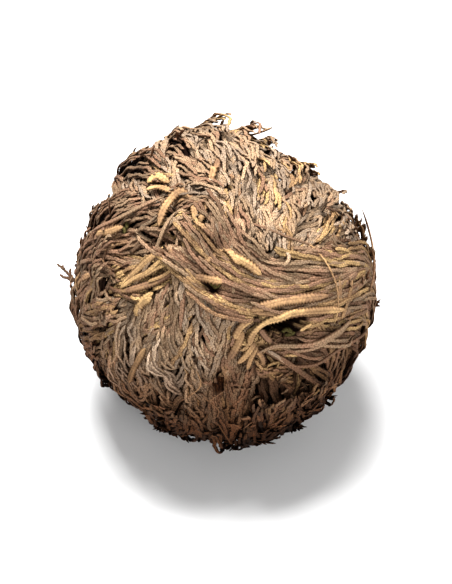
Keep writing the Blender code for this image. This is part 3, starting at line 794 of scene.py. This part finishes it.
# Fine curly roots round the crown.
ROOT_COUNT = 100
ROOT_HALF_WIDTH = (0.00012, 0.00026)
ROOT_LENGTH = (0.010, 0.024)
ROOT_RING_PITCH = 0.0012

# How many stretches a curve is cut into to measure its length.
ROUGH_SAMPLES = 40


def on_ball(path, count):
    """Directions along a smooth curve over longitudes and latitudes, as count + 1 unit vectors."""
    return unit(spline([direction(*place[:2]) for place in path], count))


def band(path, half_width, height_share, pitch, hue, light, tipped, lifts):
    """One strand laid over the outside of the plant, with its section tipped on its side.

    It lies where the bridged outside is, plus a smooth curve through its lifts, and narrows
    towards both its ends.
    """
    rough = on_ball(path, ROUGH_SAMPLES)
    length = np.linalg.norm(np.diff(rough, axis=0), axis=1).sum() * BALL_RADIUS
    count = max(6, round(length / pitch))
    aims = on_ball(path, count)
    t = np.linspace(0, 1, count + 1)
    lift = spline(np.array(lifts)[:, None], count)[:, 0]
    radius = plant().outside.over_notches(aims) + lift
    ahead = unit(np.gradient(aims, axis=0))
    side = np.cross(ahead, aims)
    angle = math.radians(tipped) * np.sin(math.pi * np.clip(t * 1.1, 0, 1))[:, None]
    up = aims * np.cos(angle) + side * np.sin(angle)
    ends = np.sqrt(np.clip(np.minimum(t / 0.12, (1 - t) / 0.18), 0.05, 1))
    width = half_width * ends
    # Painted shade where the band sinks under the plant's outside.
    age = np.clip(-lift / DARK_DEPTH, 0, 1)
    return single_strand(BALL_CENTRE + aims * radius[:, None], up, width, width * height_share,
                         t * length, hue, light, age)


class Value:
    """A number that a material works out at each point, with arithmetic on it."""

    def __init__(self, graph, socket):
        self.graph = graph
        self.socket = socket

    def maths(self, operation, *values):
        return self.graph.node("ShaderNodeMath", {"operation": operation}, dict(enumerate(values)))

    def __add__(self, other):
        return self.maths("ADD", self, other)

    def __sub__(self, other):
        return self.maths("SUBTRACT", self, other)

    def __rsub__(self, other):
        return self.maths("SUBTRACT", other, self)

    def __mul__(self, other):
        return self.maths("MULTIPLY", self, other)

    def __truediv__(self, other):
        return self.maths("DIVIDE", self, other)

    def __gt__(self, other):
        return self.maths("GREATER_THAN", self, other)

    def __abs__(self):
        return self.maths("ABSOLUTE", self)

    __radd__ = __add__
    __rmul__ = __mul__

    def output(self, number):
        """Another output of the same node."""
        return Value(self.graph, self.socket.node.outputs[number])

    def fraction(self):
        """What is left over after the whole number."""
        return self.maths("FRACT", self)

    def from_to(self, low, high):
        """0 at low, 1 at high, and an even curve between."""
        sockets = {"Value": self, "From Min": low, "From Max": high}
        return self.graph.node("ShaderNodeMapRange", {"interpolation_type": "SMOOTHSTEP"}, sockets)


# How much of the light a dry, matt surface throws straight back.
SHEEN = 0.05


class Graph:
    """Adds nodes to one new material, whose shader is a plain Principled BSDF."""

    def __init__(self, name):
        self.material = bpy.data.materials.new(name)
        self.material.use_nodes = True
        self.tree = self.material.node_tree
        self.shader = self.tree.nodes["Principled BSDF"]

    def node(self, kind, settings, sockets, output=0):
        """A node of this kind: its settings first, then the values or links of its sockets."""
        made = self.tree.nodes.new(kind)
        for name, value in settings.items():
            setattr(made, name, value)
        for key, value in sockets.items():
            self.put(made.inputs[key], value)
        return Value(self, made.outputs[output])

    def put(self, socket, value):
        """Links a value to a socket, or sets the socket to a plain number or colour."""
        if isinstance(value, Value):
            self.tree.links.new(value.socket, socket)
        else:
            socket.default_value = value

    def mix(self, share, first, second):
        """From the first colour to the second as share goes from 0 to 1."""
        return self.node("ShaderNodeMix", {"data_type": "RGBA"}, {0: share, 6: first, 7: second}, 2)

    def scaled(self, colour, by):
        """A colour times a number."""
        return self.node("ShaderNodeVectorMath", {"operation": "SCALE"}, {0: colour, "Scale": by})

    def noise(self, place, size, detail=2.0, rough=0.5):
        """Soft noise from about 0.25 to 0.75 whose lumps are this many metres wide."""
        sockets = {"Vector": place, "Scale": 1 / size, "Detail": detail, "Roughness": rough}
        return self.node("ShaderNodeTexNoise", {}, sockets)

    def bump(self, height, distance, strength=1.0):
        """The normal of a surface that stands up by distance where height is 1."""
        return self.node("ShaderNodeBump", {}, {"Strength": strength, "Distance": distance, "Height": height})

    def finish(self, colour, roughness, normal):
        """Feeds the shader and returns the material."""
        self.put(self.shader.inputs["Base Color"], colour)
        self.put(self.shader.inputs["Roughness"], roughness)
        self.put(self.shader.inputs["Normal"], normal)
        self.shader.inputs["Specular IOR Level"].default_value = SHEEN
        return self.material


# Painted shade between scale leaves, deep in the plant, and low down on it, where less light falls; the low
# one is also redder, as the older parts are.
GAP_SHADE_COLOUR = (0.110, 0.040, 0.015, 1.0)
PIT_SHADE_COLOUR = (0.008, 0.003, 0.0015, 1.0)
LOW_SHADE_COLOUR = (0.250, 0.086, 0.030, 1.0)


def grown_material(name, colours, leaf_contrast=1.0):
    """Dry scale leaves in two rows along a branchlet.

    The shade of leaf is the fraction of the place along, shifted by half for the other row and
    drawn back towards the edges, so each row shows arrow-shaped leaves. Where a leaf comes out
    from under the one before, it has a painted shadow. Hue runs over five colours. Patches and
    specks then darken it, and so does painted shade: along the middle groove and the rims, deeper
    in the plant, and low on it, where the older parts are also redder.
    """
    graph = Graph(name)
    grown = graph.node("ShaderNodeAttribute", {"attribute_name": "grown"}, {})
    parts = graph.node("ShaderNodeSeparateColor", {}, {0: grown})
    hue, light, age = (parts.output(k) for k in range(3))
    uv = graph.node("ShaderNodeUVMap", {"uv_map": "along"}, {})
    flat = graph.node("ShaderNodeSeparateXYZ", {}, {0: uv})
    along, around = flat.output(0), flat.output(1)
    place = graph.node("ShaderNodeTexCoord", {}, {}, 3)
    height = graph.node("ShaderNodeSeparateXYZ", {}, {0: place}, 2)

    aside = (around - 0.25) * 4
    leaf = (along + 0.5 * (aside > 0) + 0.4 * abs(aside)).fraction()
    # Painted shade: a shadow just where each leaf comes out from under the one before, a dark groove along
    # the middle of the back, and dark rims along both edges that part the branchlets.
    leaf_shadow = 1 - leaf.from_to(0.02, 0.30)
    crest = leaf.from_to(0.55, 0.95)
    seam = 1 - abs(aside).from_to(0.0, 0.22)
    patch = graph.noise(place, 0.0075, 2.0).from_to(0.36, 0.64)
    speck = graph.noise(place, 0.0007, 2.0).from_to(0.3, 0.7)
    edge_shade = abs(aside).from_to(0.45, 1.05)
    hue = hue + 0.16 * (patch - 0.5) + 0.06 * (speck - 0.5)

    grey, beige, rosy, tan, gold = colours
    colour = graph.mix(hue.from_to(0.05, 0.30), grey, beige)
    colour = graph.mix(hue.from_to(0.30, 0.52), colour, rosy)
    colour = graph.mix(hue.from_to(0.55, 0.78), colour, tan)
    colour = graph.mix(hue.from_to(0.78, 0.98), colour, gold)
    shade = (0.18 + 0.82 * light) * (0.80 + 0.34 * patch) * (0.82 + 0.30 * speck)
    shade = shade * (1 - leaf_contrast * 0.58 * leaf_shadow) * (1 + leaf_contrast * 0.22 * crest) * (1 - 0.20 * seam)
    shade = shade * (1 - 0.80 * edge_shade)
    colour = graph.scaled(colour, shade)
    colour = graph.mix(0.35 * leaf_shadow + 0.35 * edge_shade, colour, GAP_SHADE_COLOUR)
    # Painted shade: towards near black the deeper the place lies in the plant.
    colour = graph.mix(age.from_to(0.06, 0.75), colour, PIT_SHADE_COLOUR)
    # Painted shade low on the plant, with the redder brown of its older parts: towards a dark red-brown, then
    # darker still towards the bottom.
    low = graph.mix(shade * shade, PIT_SHADE_COLOUR, LOW_SHADE_COLOUR)
    colour = graph.mix((1 - height.from_to(0.018, 0.053)) * 0.92, colour, low)
    colour = graph.scaled(colour, 0.20 + 0.80 * height.from_to(0.010, 0.046))
    normal = graph.bump(0.8 * leaf_contrast * leaf + 0.3 * speck - 0.4 * seam, 0.00016)
    return graph.finish(colour, 0.78 + 0.12 * speck, normal)


def bark_material(name, colour):
    """Woody fibres that run up the crown, with cracks between and pale worn crests."""
    graph = Graph(name)
    place = graph.node("ShaderNodeTexCoord", {}, {}, 3)
    drawn = graph.node("ShaderNodeMapping", {}, {"Vector": place, "Scale": (1.0, 1.0, 0.18)})
    fibre = graph.noise(drawn, 0.0007, 4.0, 0.6).from_to(0.32, 0.66)
    patch = graph.noise(place, 0.004, 3.0).from_to(0.35, 0.65)
    dark = tuple(0.30 * part for part in colour[:3]) + (1.0,)
    shade = graph.mix(fibre * (0.5 + 0.5 * patch), dark, colour)
    return graph.finish(shade, 0.80 + 0.12 * fibre, graph.bump(fibre + 0.5 * patch, 0.00035))


def settings():
    """The plant's sizes and colours, as the panel has them."""
    return bpy.context.scene.rose_of_jericho


def opaque(colour):
    """A colour with full alpha, for a socket."""
    return (*colour, 1.0)


def palette():
    """The five colours that hue runs over, as the settings have them."""
    own = settings()
    return [opaque(colour) for colour in (own.grey, own.beige, own.rosy_brown, own.tan, own.golden)]


def colour_property(name, description, default):
    """A colour that the panel shows."""
    return FloatVectorProperty(name=name, description=description, default=default, min=0, max=1,
                               subtype="COLOR")


class RoseOfJerichoSettings(bpy.types.PropertyGroup):
    """Sizes and colours of the plant."""

    leaf_pitch: FloatProperty(
        name="Leaf pitch", description="Distance from one scale leaf to the next of its row",
        default=0.00098, min=0.0004, max=0.004, precision=5, unit="LENGTH")
    ring_pitch: FloatProperty(
        name="Ring pitch", description="Distance between the rings of points along a branchlet",
        default=0.00080, min=0.0003, max=0.003, precision=5, unit="LENGTH")
    thickness: FloatProperty(
        name="Thickness", description="Width of every branchlet against its usual width",
        default=1.0, min=0.3, max=2.0, subtype="FACTOR")
    seed: IntProperty(
        name="Seed", description="Which of the many possible plants is grown", default=11, min=0)
    grey: colour_property("Grey", "Bleached branchlets", (0.44, 0.320, 0.222))
    beige: colour_property("Beige", "Pale branchlets", (0.44, 0.290, 0.172))
    rosy_brown: colour_property("Rosy brown", "Reddish branchlets", (0.31, 0.172, 0.104))
    tan: colour_property("Tan", "Straw-coloured branchlets", (0.43, 0.255, 0.125))
    golden: colour_property("Golden", "Golden folds and cords", (0.58, 0.370, 0.165))
    olive: colour_property("Olive", "Leaf buds", (0.235, 0.205, 0.065))
    bark: colour_property("Bark", "Woody crown", (0.16, 0.085, 0.045))


class Plant:
    """What the operators share: the plant's outside, its materials and its numbers at random."""

    def __init__(self):
        self.outside = Outside()
        self.materials = {slot: grown_material(slot, palette()) for slot in TONES}

    def numbers(self, name):
        """Seeded numbers for one piece, which don't depend on the order of the pieces."""
        return np.random.default_rng([settings().seed, *name.encode()])


def plant():
    """The shared plant, made when it is first asked for."""
    if not hasattr(plant, "made"):
        plant.made = Plant()
    return plant.made


def frond_part(frond, name, marks=None):
    """One frond's branchlets, swept, with numbers of its own at random."""
    own, rng = plant(), plant().numbers(name)
    chart = Chart(frond, own.outside, marks)
    habit = frond.habit._replace(width=frond.habit.width * settings().thickness)
    grown = grow(chart, habit, OWN_TONES.get(frond.name, TONES[frond.slot]), rng)
    return sweep(frond_rings(chart, grown, own.outside, rng), SCALY_SECTION, 0.20)


def add_frond(frond):
    """Grows one frond's branchlets in place of its plain blade."""
    obj = new_mesh(frond.name.replace("frond", "branchlets"), [frond_part(frond, frond.name)])
    finish(obj, plant().materials[frond.slot], [frond.name])


class ROSE_OT_outer_fronds(bpy.types.Operator):
    """Grow the outer fronds, each from its stalk to its curled-in tip"""

    bl_idname = "rose.outer_fronds"
    bl_label = "Outer Fronds"

    def execute(self, context):
        for frond in FRONDS:
            add_frond(frond)
        return {"FINISHED"}


class ROSE_OT_inner_fronds(bpy.types.Operator):
    """Grow the dark inner fronds, which show between the outer ones"""

    bl_idname = "rose.inner_fronds"
    bl_label = "Inner Fronds"

    def execute(self, context):
        names = [f"frond_inner_{k + 1}" for k in range(INNER_COUNT)]
        habit = INNER._replace(hidden=INNER_HIDDEN_DEPTH)
        for frond in all_round(names, habit, INNER_HALF_WIDTH, NO_STALK, INNER_FIRST_LONGITUDE,
                               ((0, -18), (4, 24), (14, 52), (40, 76))):
            add_frond(frond)
        return {"FINISHED"}


class ROSE_OT_undergrowth(bpy.types.Operator):
    """Grow the thin fronds that lie a little deeper and fill the gaps"""

    bl_idname = "rose.undergrowth"
    bl_label = "Undergrowth"

    def execute(self, context):
        for kind, slot in (("top", "frond_grey"), ("back", "frond_brown"), ("front", "frond_grey")):
            group = [frond for frond in FRONDS if frond.name.startswith(f"frond_{kind}_")]
            group = [frond for frond in sorted(group) if len(frond.path) == len(group[-1].path)]
            parts = []
            for one, next_one in zip(group, group[1:]):
                middle = one._replace(name="between", slot=slot, habit=UNDER,
                                      half_width=BETWEEN_WIDTH * one.half_width)
                marks = unit(frond_marks(one) + frond_marks(next_one))
                parts.append(frond_part(middle, f"{one.name} and {next_one.name}", marks))
            add_undergrowth(kind, parts, slot)
        low = all_round([f"low_{k}" for k in range(LOW_COUNT)], LINING, LOW_HALF_WIDTH, SHORT_STALK, 0,
                        ((0, -46), (4, -32), (0, -12)))
        deep = all_round([f"deep_{k}" for k in range(DEEP_COUNT)], INNER, DEEP_HALF_WIDTH, NO_STALK, 0,
                         ((0, -30), (0, 10), (8, 50), (25, 82)))
        for kind, fronds, slot in (("sides", FILLERS, "frond_brown"), ("low", low, "frond_dark"),
                                   ("inside", deep, "frond_dark")):
            add_undergrowth(kind, [frond_part(frond, frond.name) for frond in fronds], slot)
        return {"FINISHED"}


def add_undergrowth(kind, parts, slot):
    """One piece from the undergrowth fronds of one side."""
    finish(new_mesh(f"undergrowth_{kind}", parts), plant().materials[slot])


def add_strands(name, strands, section, scaly, material, nodes=()):
    """One piece from single strands."""
    finish(new_mesh(name, [sweep(join(strands), section, scaly)]), material, nodes)


class ROSE_OT_folds(bpy.types.Operator):
    """Lay the folded golden blades, whose edges are notched by their leaves"""

    bl_idname = "rose.folds"
    bl_label = "Folded Blades"

    def execute(self, context):
        strands = [band(fold.path, fold.half_width, 0.34, settings().leaf_pitch * 0.43, fold.hue, fold.light,
                        fold.tipped, [fold.lift] * len(fold.path)) for fold in FOLDS]
        material = grown_material("folded_blade", palette(), FOLD_LEAF_CONTRAST)
        add_strands("folded_blades", strands, BLADE_SECTION, 0.20, material)
        return {"FINISHED"}


class ROSE_OT_buds(bpy.types.Operator):
    """Tuck a few olive leaf buds between the fronds"""

    bl_idname = "rose.buds"
    bl_label = "Leaf Buds"

    def execute(self, context):
        strands = [band(path, BUD_HALF_WIDTH, 0.8, settings().leaf_pitch / 2, 0.5, 0.9, 0.0,
                        [-BUD_DEPTH] * len(path)) for path in BUDS]
        olive = opaque(settings().olive)
        pale = tuple(min(1.0, 1.5 * part) for part in olive)
        material = grown_material("leaf_bud", (pale, pale, olive, olive, pale))
        add_strands("leaf_buds", strands, BLADE_SECTION, 0.05, material)
        return {"FINISHED"}


class ROSE_OT_strays(bpy.types.Operator):
    """Lay the stray stems and cords that cross the fronds"""

    bl_idname = "rose.strays"
    bl_label = "Stray Stems"

    def execute(self, context):
        strands = [band(stray.path, stray.half_width, 0.75, settings().ring_pitch, stray.hue, stray.light,
                        0.0, [place[2] * MM for place in stray.path]) for stray in STRAYS]
        add_strands("stray_stems", strands, SCALY_SECTION, 0.12, plant().materials["frond_tan"])
        return {"FINISHED"}


class ROSE_OT_forked_twig(bpy.types.Operator):
    """Put the forked twig at the left side"""

    bl_idname = "rose.forked_twig"
    bl_label = "Forked Twig"

    def execute(self, context):
        prongs = [prong_rings(prong) for prong in FORKED_TWIG_PRONGS]
        add_strands("forked_twig", prongs, SCALY_SECTION, 0.15, plant().materials["frond_brown"],
                    ["stray_twig"])
        return {"FINISHED"}


def prong_rings(places):
    """One prong as rings on a smooth curve, thinner towards its tip."""
    sight = unit(np.array((0.0, -1.0, 1.0)))
    left = np.array((-1.0, 0.0, 0.0))
    up = np.cross(left, sight)
    rough = spline(places, 24)
    length = np.linalg.norm(np.diff(rough, axis=0), axis=1).sum()
    count = max(4, round(length / settings().ring_pitch * 1.6))
    across, rise = spline(places, count).T
    t = np.linspace(0, 1, count + 1)
    width = FORKED_TWIG_HALF_WIDTH * (1.15 - 0.4 * t) * rounded_end((1 - t) * length, FORKED_TWIG_HALF_WIDTH)
    centre = BALL_CENTRE + left * across[:, None] + up * rise[:, None]
    return single_strand(centre, np.tile(sight, (count + 1, 1)), width, 0.8 * width, t * length,
                         hue=0.45, light=0.5, age=0)


class ROSE_OT_twigs(bpy.types.Operator):
    """Stand short forked twigs off the ball"""

    bl_idname = "rose.twigs"
    bl_label = "Loose Twigs"

    def execute(self, context):
        for group in TWIG_GROUPS:
            rng = plant().numbers(group.name)
            strands = [branch for _ in range(group.count) for branch in loose_twig(group, rng)]
            add_strands(group.name, strands, SCALY_SECTION, 0.15, plant().materials["frond_brown"])
        return {"FINISHED"}


def loose_twig(group, rng):
    """The three branches of one twig: a stem and two forks off it, one to a side or both to one."""
    longitude = rng.uniform(*group.longitudes)
    low, high = np.sin(np.radians(group.latitudes))
    latitude = math.degrees(math.asin(rng.uniform(low, high)))
    heading = rng.normal(90, group.stray)
    length, rise = rng.uniform(*group.length), rng.uniform(*group.rise)
    hue, light = rng.uniform(0.2, 0.75), rng.uniform(*group.light)
    first, second = (angle * rng.choice((-1, 1)) for angle in TWIG_FORKS)
    return [twig_branch(direction(longitude, latitude), heading, fork, share, length, rise, hue, light)
            for fork, share in ((0, 1.0), (first, 0.6), (second, 0.35))]


def twig_branch(aim, heading, fork, share, length, rise, hue, light):
    """One branch of a loose twig, which leaves its stem part of the way along and turns by fork."""
    north = unit(np.array((0.0, 0.0, 1.0)) - aim * aim[2])
    east = np.cross(aim, north)
    ahead = north * math.sin(math.radians(heading)) + east * math.cos(math.radians(heading))
    beside = np.cross(ahead, aim)
    begin = 0.0 if fork == 0 else 1 - share
    count = max(4, round(length * share / settings().ring_pitch))
    t = np.linspace(0, 1, count + 1)
    done = begin + share * t
    turned = math.radians(fork)
    aside = np.sin(turned) * share * t * length
    gone = (begin + np.cos(turned) * share * t) * length
    aims = unit(aim + (ahead * gone[:, None] + beside * aside[:, None]) / BALL_RADIUS)
    lift = -TWIG_START_DEPTH + (rise + TWIG_START_DEPTH) * done**1.6
    radius = plant().outside.at(np.broadcast_to(aim, aims.shape)) + lift
    width = TWIG_HALF_WIDTH * (1.1 - 0.25 * done) * rounded_end((1 - t) * share * length, TWIG_HALF_WIDTH)
    # The last number is painted shade where the twig starts under the plant's outside.
    return single_strand(BALL_CENTRE + aims * radius[:, None], aims, width, width * 0.7, done * length,
                         hue, light + 0.15 * done, np.clip(-lift / DARK_DEPTH, 0, 1))


class ROSE_OT_roots(bpy.types.Operator):
    """Curl fine roots round the crown"""

    bl_idname = "rose.roots"
    bl_label = "Roots"

    def execute(self, context):
        rng = plant().numbers("roots")
        strands = [root(rng) for _ in range(ROOT_COUNT)]
        add_strands("roots", strands, ROUND_SECTION, 0.0, plant().materials["frond_dark"])
        return {"FINISHED"}


def root(rng):
    """One root: it leaves the crown's side, droops, and curls by a sum of sines."""
    turn = rng.uniform(0, math.tau)
    start = rng.uniform(0.002, CROWN_HEIGHT)
    length = rng.uniform(*ROOT_LENGTH)
    count = round(length / ROOT_RING_PITCH)
    t = np.linspace(0, 1, count + 1)
    phase = rng.uniform(0, math.tau, 4)
    turn = turn + t * rng.normal(0, 1.0) + 0.10 * np.sin(phase[0] + 9 * t) * t
    foot = (BALL_CENTRE[2] - start) * 0.30
    reach = foot + t * length * rng.uniform(0.3, 0.8) + 0.0010 * np.sin(phase[1] + 8 * t) * t
    height = start + (rng.uniform(-0.3, 0.5) * t * length) + 0.0012 * np.sin(phase[2] + 10 * t) * t
    height = 0.0005 + np.abs(height - 0.0005)
    centre = np.stack((reach * np.sin(turn), -reach * np.cos(turn), height), -1)
    half_width = rng.uniform(*ROOT_HALF_WIDTH) * (1.1 - 0.7 * t)
    up = np.tile((0.03, 0.05, 1.0), (count + 1, 1))
    # Every root gets a little painted shade.
    return single_strand(centre, up, half_width, half_width, t * length,
                         hue=rng.uniform(0.3, 0.8), light=rng.uniform(0.3, 0.9), age=0.15)


class ROSE_OT_crown(bpy.types.Operator):
    """Put the ridged woody crown under the fronds"""

    bl_idname = "rose.crown"
    bl_label = "Root Crown"

    def execute(self, context):
        obj = new_mesh("crown_bark", [crown_surface()])
        finish(obj, bark_material("root_crown", opaque(settings().bark)), ["root_crown"])
        return {"FINISHED"}


def crown_surface():
    """A cone with a flat foot. Its radius is the solid's, less ridges by the angle and height:
    seven broad ones and finer ones of 23 and 41 a turn that twist as they rise.
    """
    around, up = 120, 24
    angle, part = np.meshgrid(np.linspace(0, math.tau, around, endpoint=False), np.linspace(0, 1, up),
                              indexing="xy")
    height = CROWN_HEIGHT * part
    slope = math.tan(math.radians(CROWN_ANGLE))
    radius = np.minimum((BALL_CENTRE[2] - height) * slope, CROWN_FOOT_RADIUS + 1.2 * height)
    ridge = (0.055 * (1 - np.cos(7 * angle + 4 * part)) / 2 + 0.030 * (1 - np.cos(23 * angle + 9 * part))
             + 0.014 * (1 - np.cos(41 * angle - 13 * part)))
    radius = radius * (1 - ridge)
    side = np.stack((radius * np.cos(angle), radius * np.sin(angle), height), -1).reshape(-1, 3)
    vertices = np.vstack((side, ((0, 0, 0), (0, 0, CROWN_HEIGHT + 0.0004))))
    quads = quads_between(np.arange(up - 1), around)
    k = np.arange(around)
    foot, top = around * up, around * up + 1
    bottom = np.stack((np.full(around, foot), (k + 1) % around, k), -1)
    lid = (up - 1) * around
    cover = np.stack((np.full(around, top), lid + k, lid + (k + 1) % around), -1)
    triangles = np.vstack((bottom, cover))
    data = np.tile((0.5, 0.5, 0.0, 1.0), (len(vertices), 1))
    return vertices, (quads, triangles), (np.zeros((quads.size, 2)), np.zeros((triangles.size, 2))), data


class ROSE_OT_stage(bpy.types.Operator):
    """Set the plain floor, the soft light and the camera"""

    bl_idname = "rose.stage"
    bl_label = "Stage"

    def execute(self, context):
        add_floor()
        add_lights()
        add_camera()
        return {"FINISHED"}


def add_floor():
    """A pale, matt, flat floor under the plant."""
    half = 1.5
    mesh = bpy.data.meshes.new("floor")
    corners = [(-half, -half, 0), (half, -half, 0), (half, half, 0), (-half, half, 0)]
    mesh.from_pydata(corners, [], [(0, 1, 2, 3)])
    floor = bpy.data.objects.new("floor", mesh)
    bpy.context.scene.collection.objects.link(floor)
    graph = Graph("floor")
    place = graph.node("ShaderNodeTexCoord", {}, {}, 3)
    grain = graph.noise(place, 0.02)
    tone = graph.mix(grain, (0.80, 0.80, 0.80, 1.0), (0.84, 0.84, 0.84, 1.0))
    floor.data.materials.append(graph.finish(tone, 0.9, graph.bump(grain, 0.0001)))


def add_lights():
    """A pale sky, a broad light from above and behind, and a weak one from the front."""
    world = bpy.data.worlds.new("pale sky")
    world.use_nodes = True
    background = world.node_tree.nodes["Background"]
    background.inputs["Color"].default_value = (1.0, 1.0, 1.0, 1.0)
    background.inputs["Strength"].default_value = 0.38
    bpy.context.scene.world = world
    for name, power, size, place in (("top light", 7.2, 0.24, (-0.05, 0.12, 0.54)),
                                     ("front light", 3.2, 0.4, (0.26, -0.62, 0.36))):
        light = bpy.data.lights.new(name, "AREA")
        light.energy = power
        light.size = size
        lamp = bpy.data.objects.new(name, light)
        lamp.location = place
        lamp.rotation_euler = (Vector(BALL_CENTRE) - Vector(place)).to_track_quat("-Z", "Y").to_euler()
        bpy.context.scene.collection.objects.link(lamp)
    bpy.context.scene.view_settings.view_transform = "Standard"


# The camera looks down from the front. The ball's middle is a little left of the picture's
# middle and above it.
CAMERA_ELEVATION = 45.0
CAMERA_DISTANCE = 0.576
CAMERA_LENS = 135.0
BALL_LEFT = 0.0005
BALL_ABOVE = 0.0010


def add_camera():
    """A long lens at the height and distance that give the ball its size in the picture."""
    elevation = math.radians(CAMERA_ELEVATION)
    back = Vector((0.0, -math.cos(elevation), math.sin(elevation)))
    up = Vector((0.0, math.sin(elevation), math.cos(elevation)))
    aimed_at = Vector(BALL_CENTRE) + Vector((BALL_LEFT, 0, 0)) - up * BALL_ABOVE
    data = bpy.data.cameras.new("camera")
    data.lens = CAMERA_LENS
    data.sensor_width = 36.0
    camera = bpy.data.objects.new("camera", data)
    camera.location = aimed_at + back * CAMERA_DISTANCE
    camera.rotation_euler = back.to_track_quat("Z", "Y").to_euler()
    bpy.context.scene.collection.objects.link(camera)
    bpy.context.scene.camera = camera


OPERATORS = (ROSE_OT_outer_fronds, ROSE_OT_inner_fronds, ROSE_OT_undergrowth, ROSE_OT_folds,
             ROSE_OT_buds, ROSE_OT_strays, ROSE_OT_forked_twig, ROSE_OT_twigs, ROSE_OT_roots,
             ROSE_OT_crown, ROSE_OT_stage)


class ROSE_PT_panel(bpy.types.Panel):
    """Sizes, colours and pieces of the plant"""

    bl_idname = "ROSE_PT_panel"
    bl_label = "Rose of Jericho"
    bl_space_type = "VIEW_3D"
    bl_region_type = "UI"
    bl_category = "Rose of Jericho"

    def draw(self, context):
        for name in RoseOfJerichoSettings.__annotations__:
            self.layout.prop(context.scene.rose_of_jericho, name)
        for operator in OPERATORS:
            self.layout.operator(operator.bl_idname)


def register():
    for cls in (RoseOfJerichoSettings, *OPERATORS, ROSE_PT_panel):
        bpy.utils.register_class(cls)
    bpy.types.Scene.rose_of_jericho = PointerProperty(type=RoseOfJerichoSettings)


def unregister():
    del bpy.types.Scene.rose_of_jericho
    for cls in (ROSE_PT_panel, *reversed(OPERATORS), RoseOfJerichoSettings):
        bpy.utils.unregister_class(cls)


def main():
    """Makes every piece and the stage."""
    register()
    for operator in OPERATORS:
        group, name = operator.bl_idname.split(".")
        getattr(getattr(bpy.ops, group), name)()


if __name__ == "__main__":
    main()
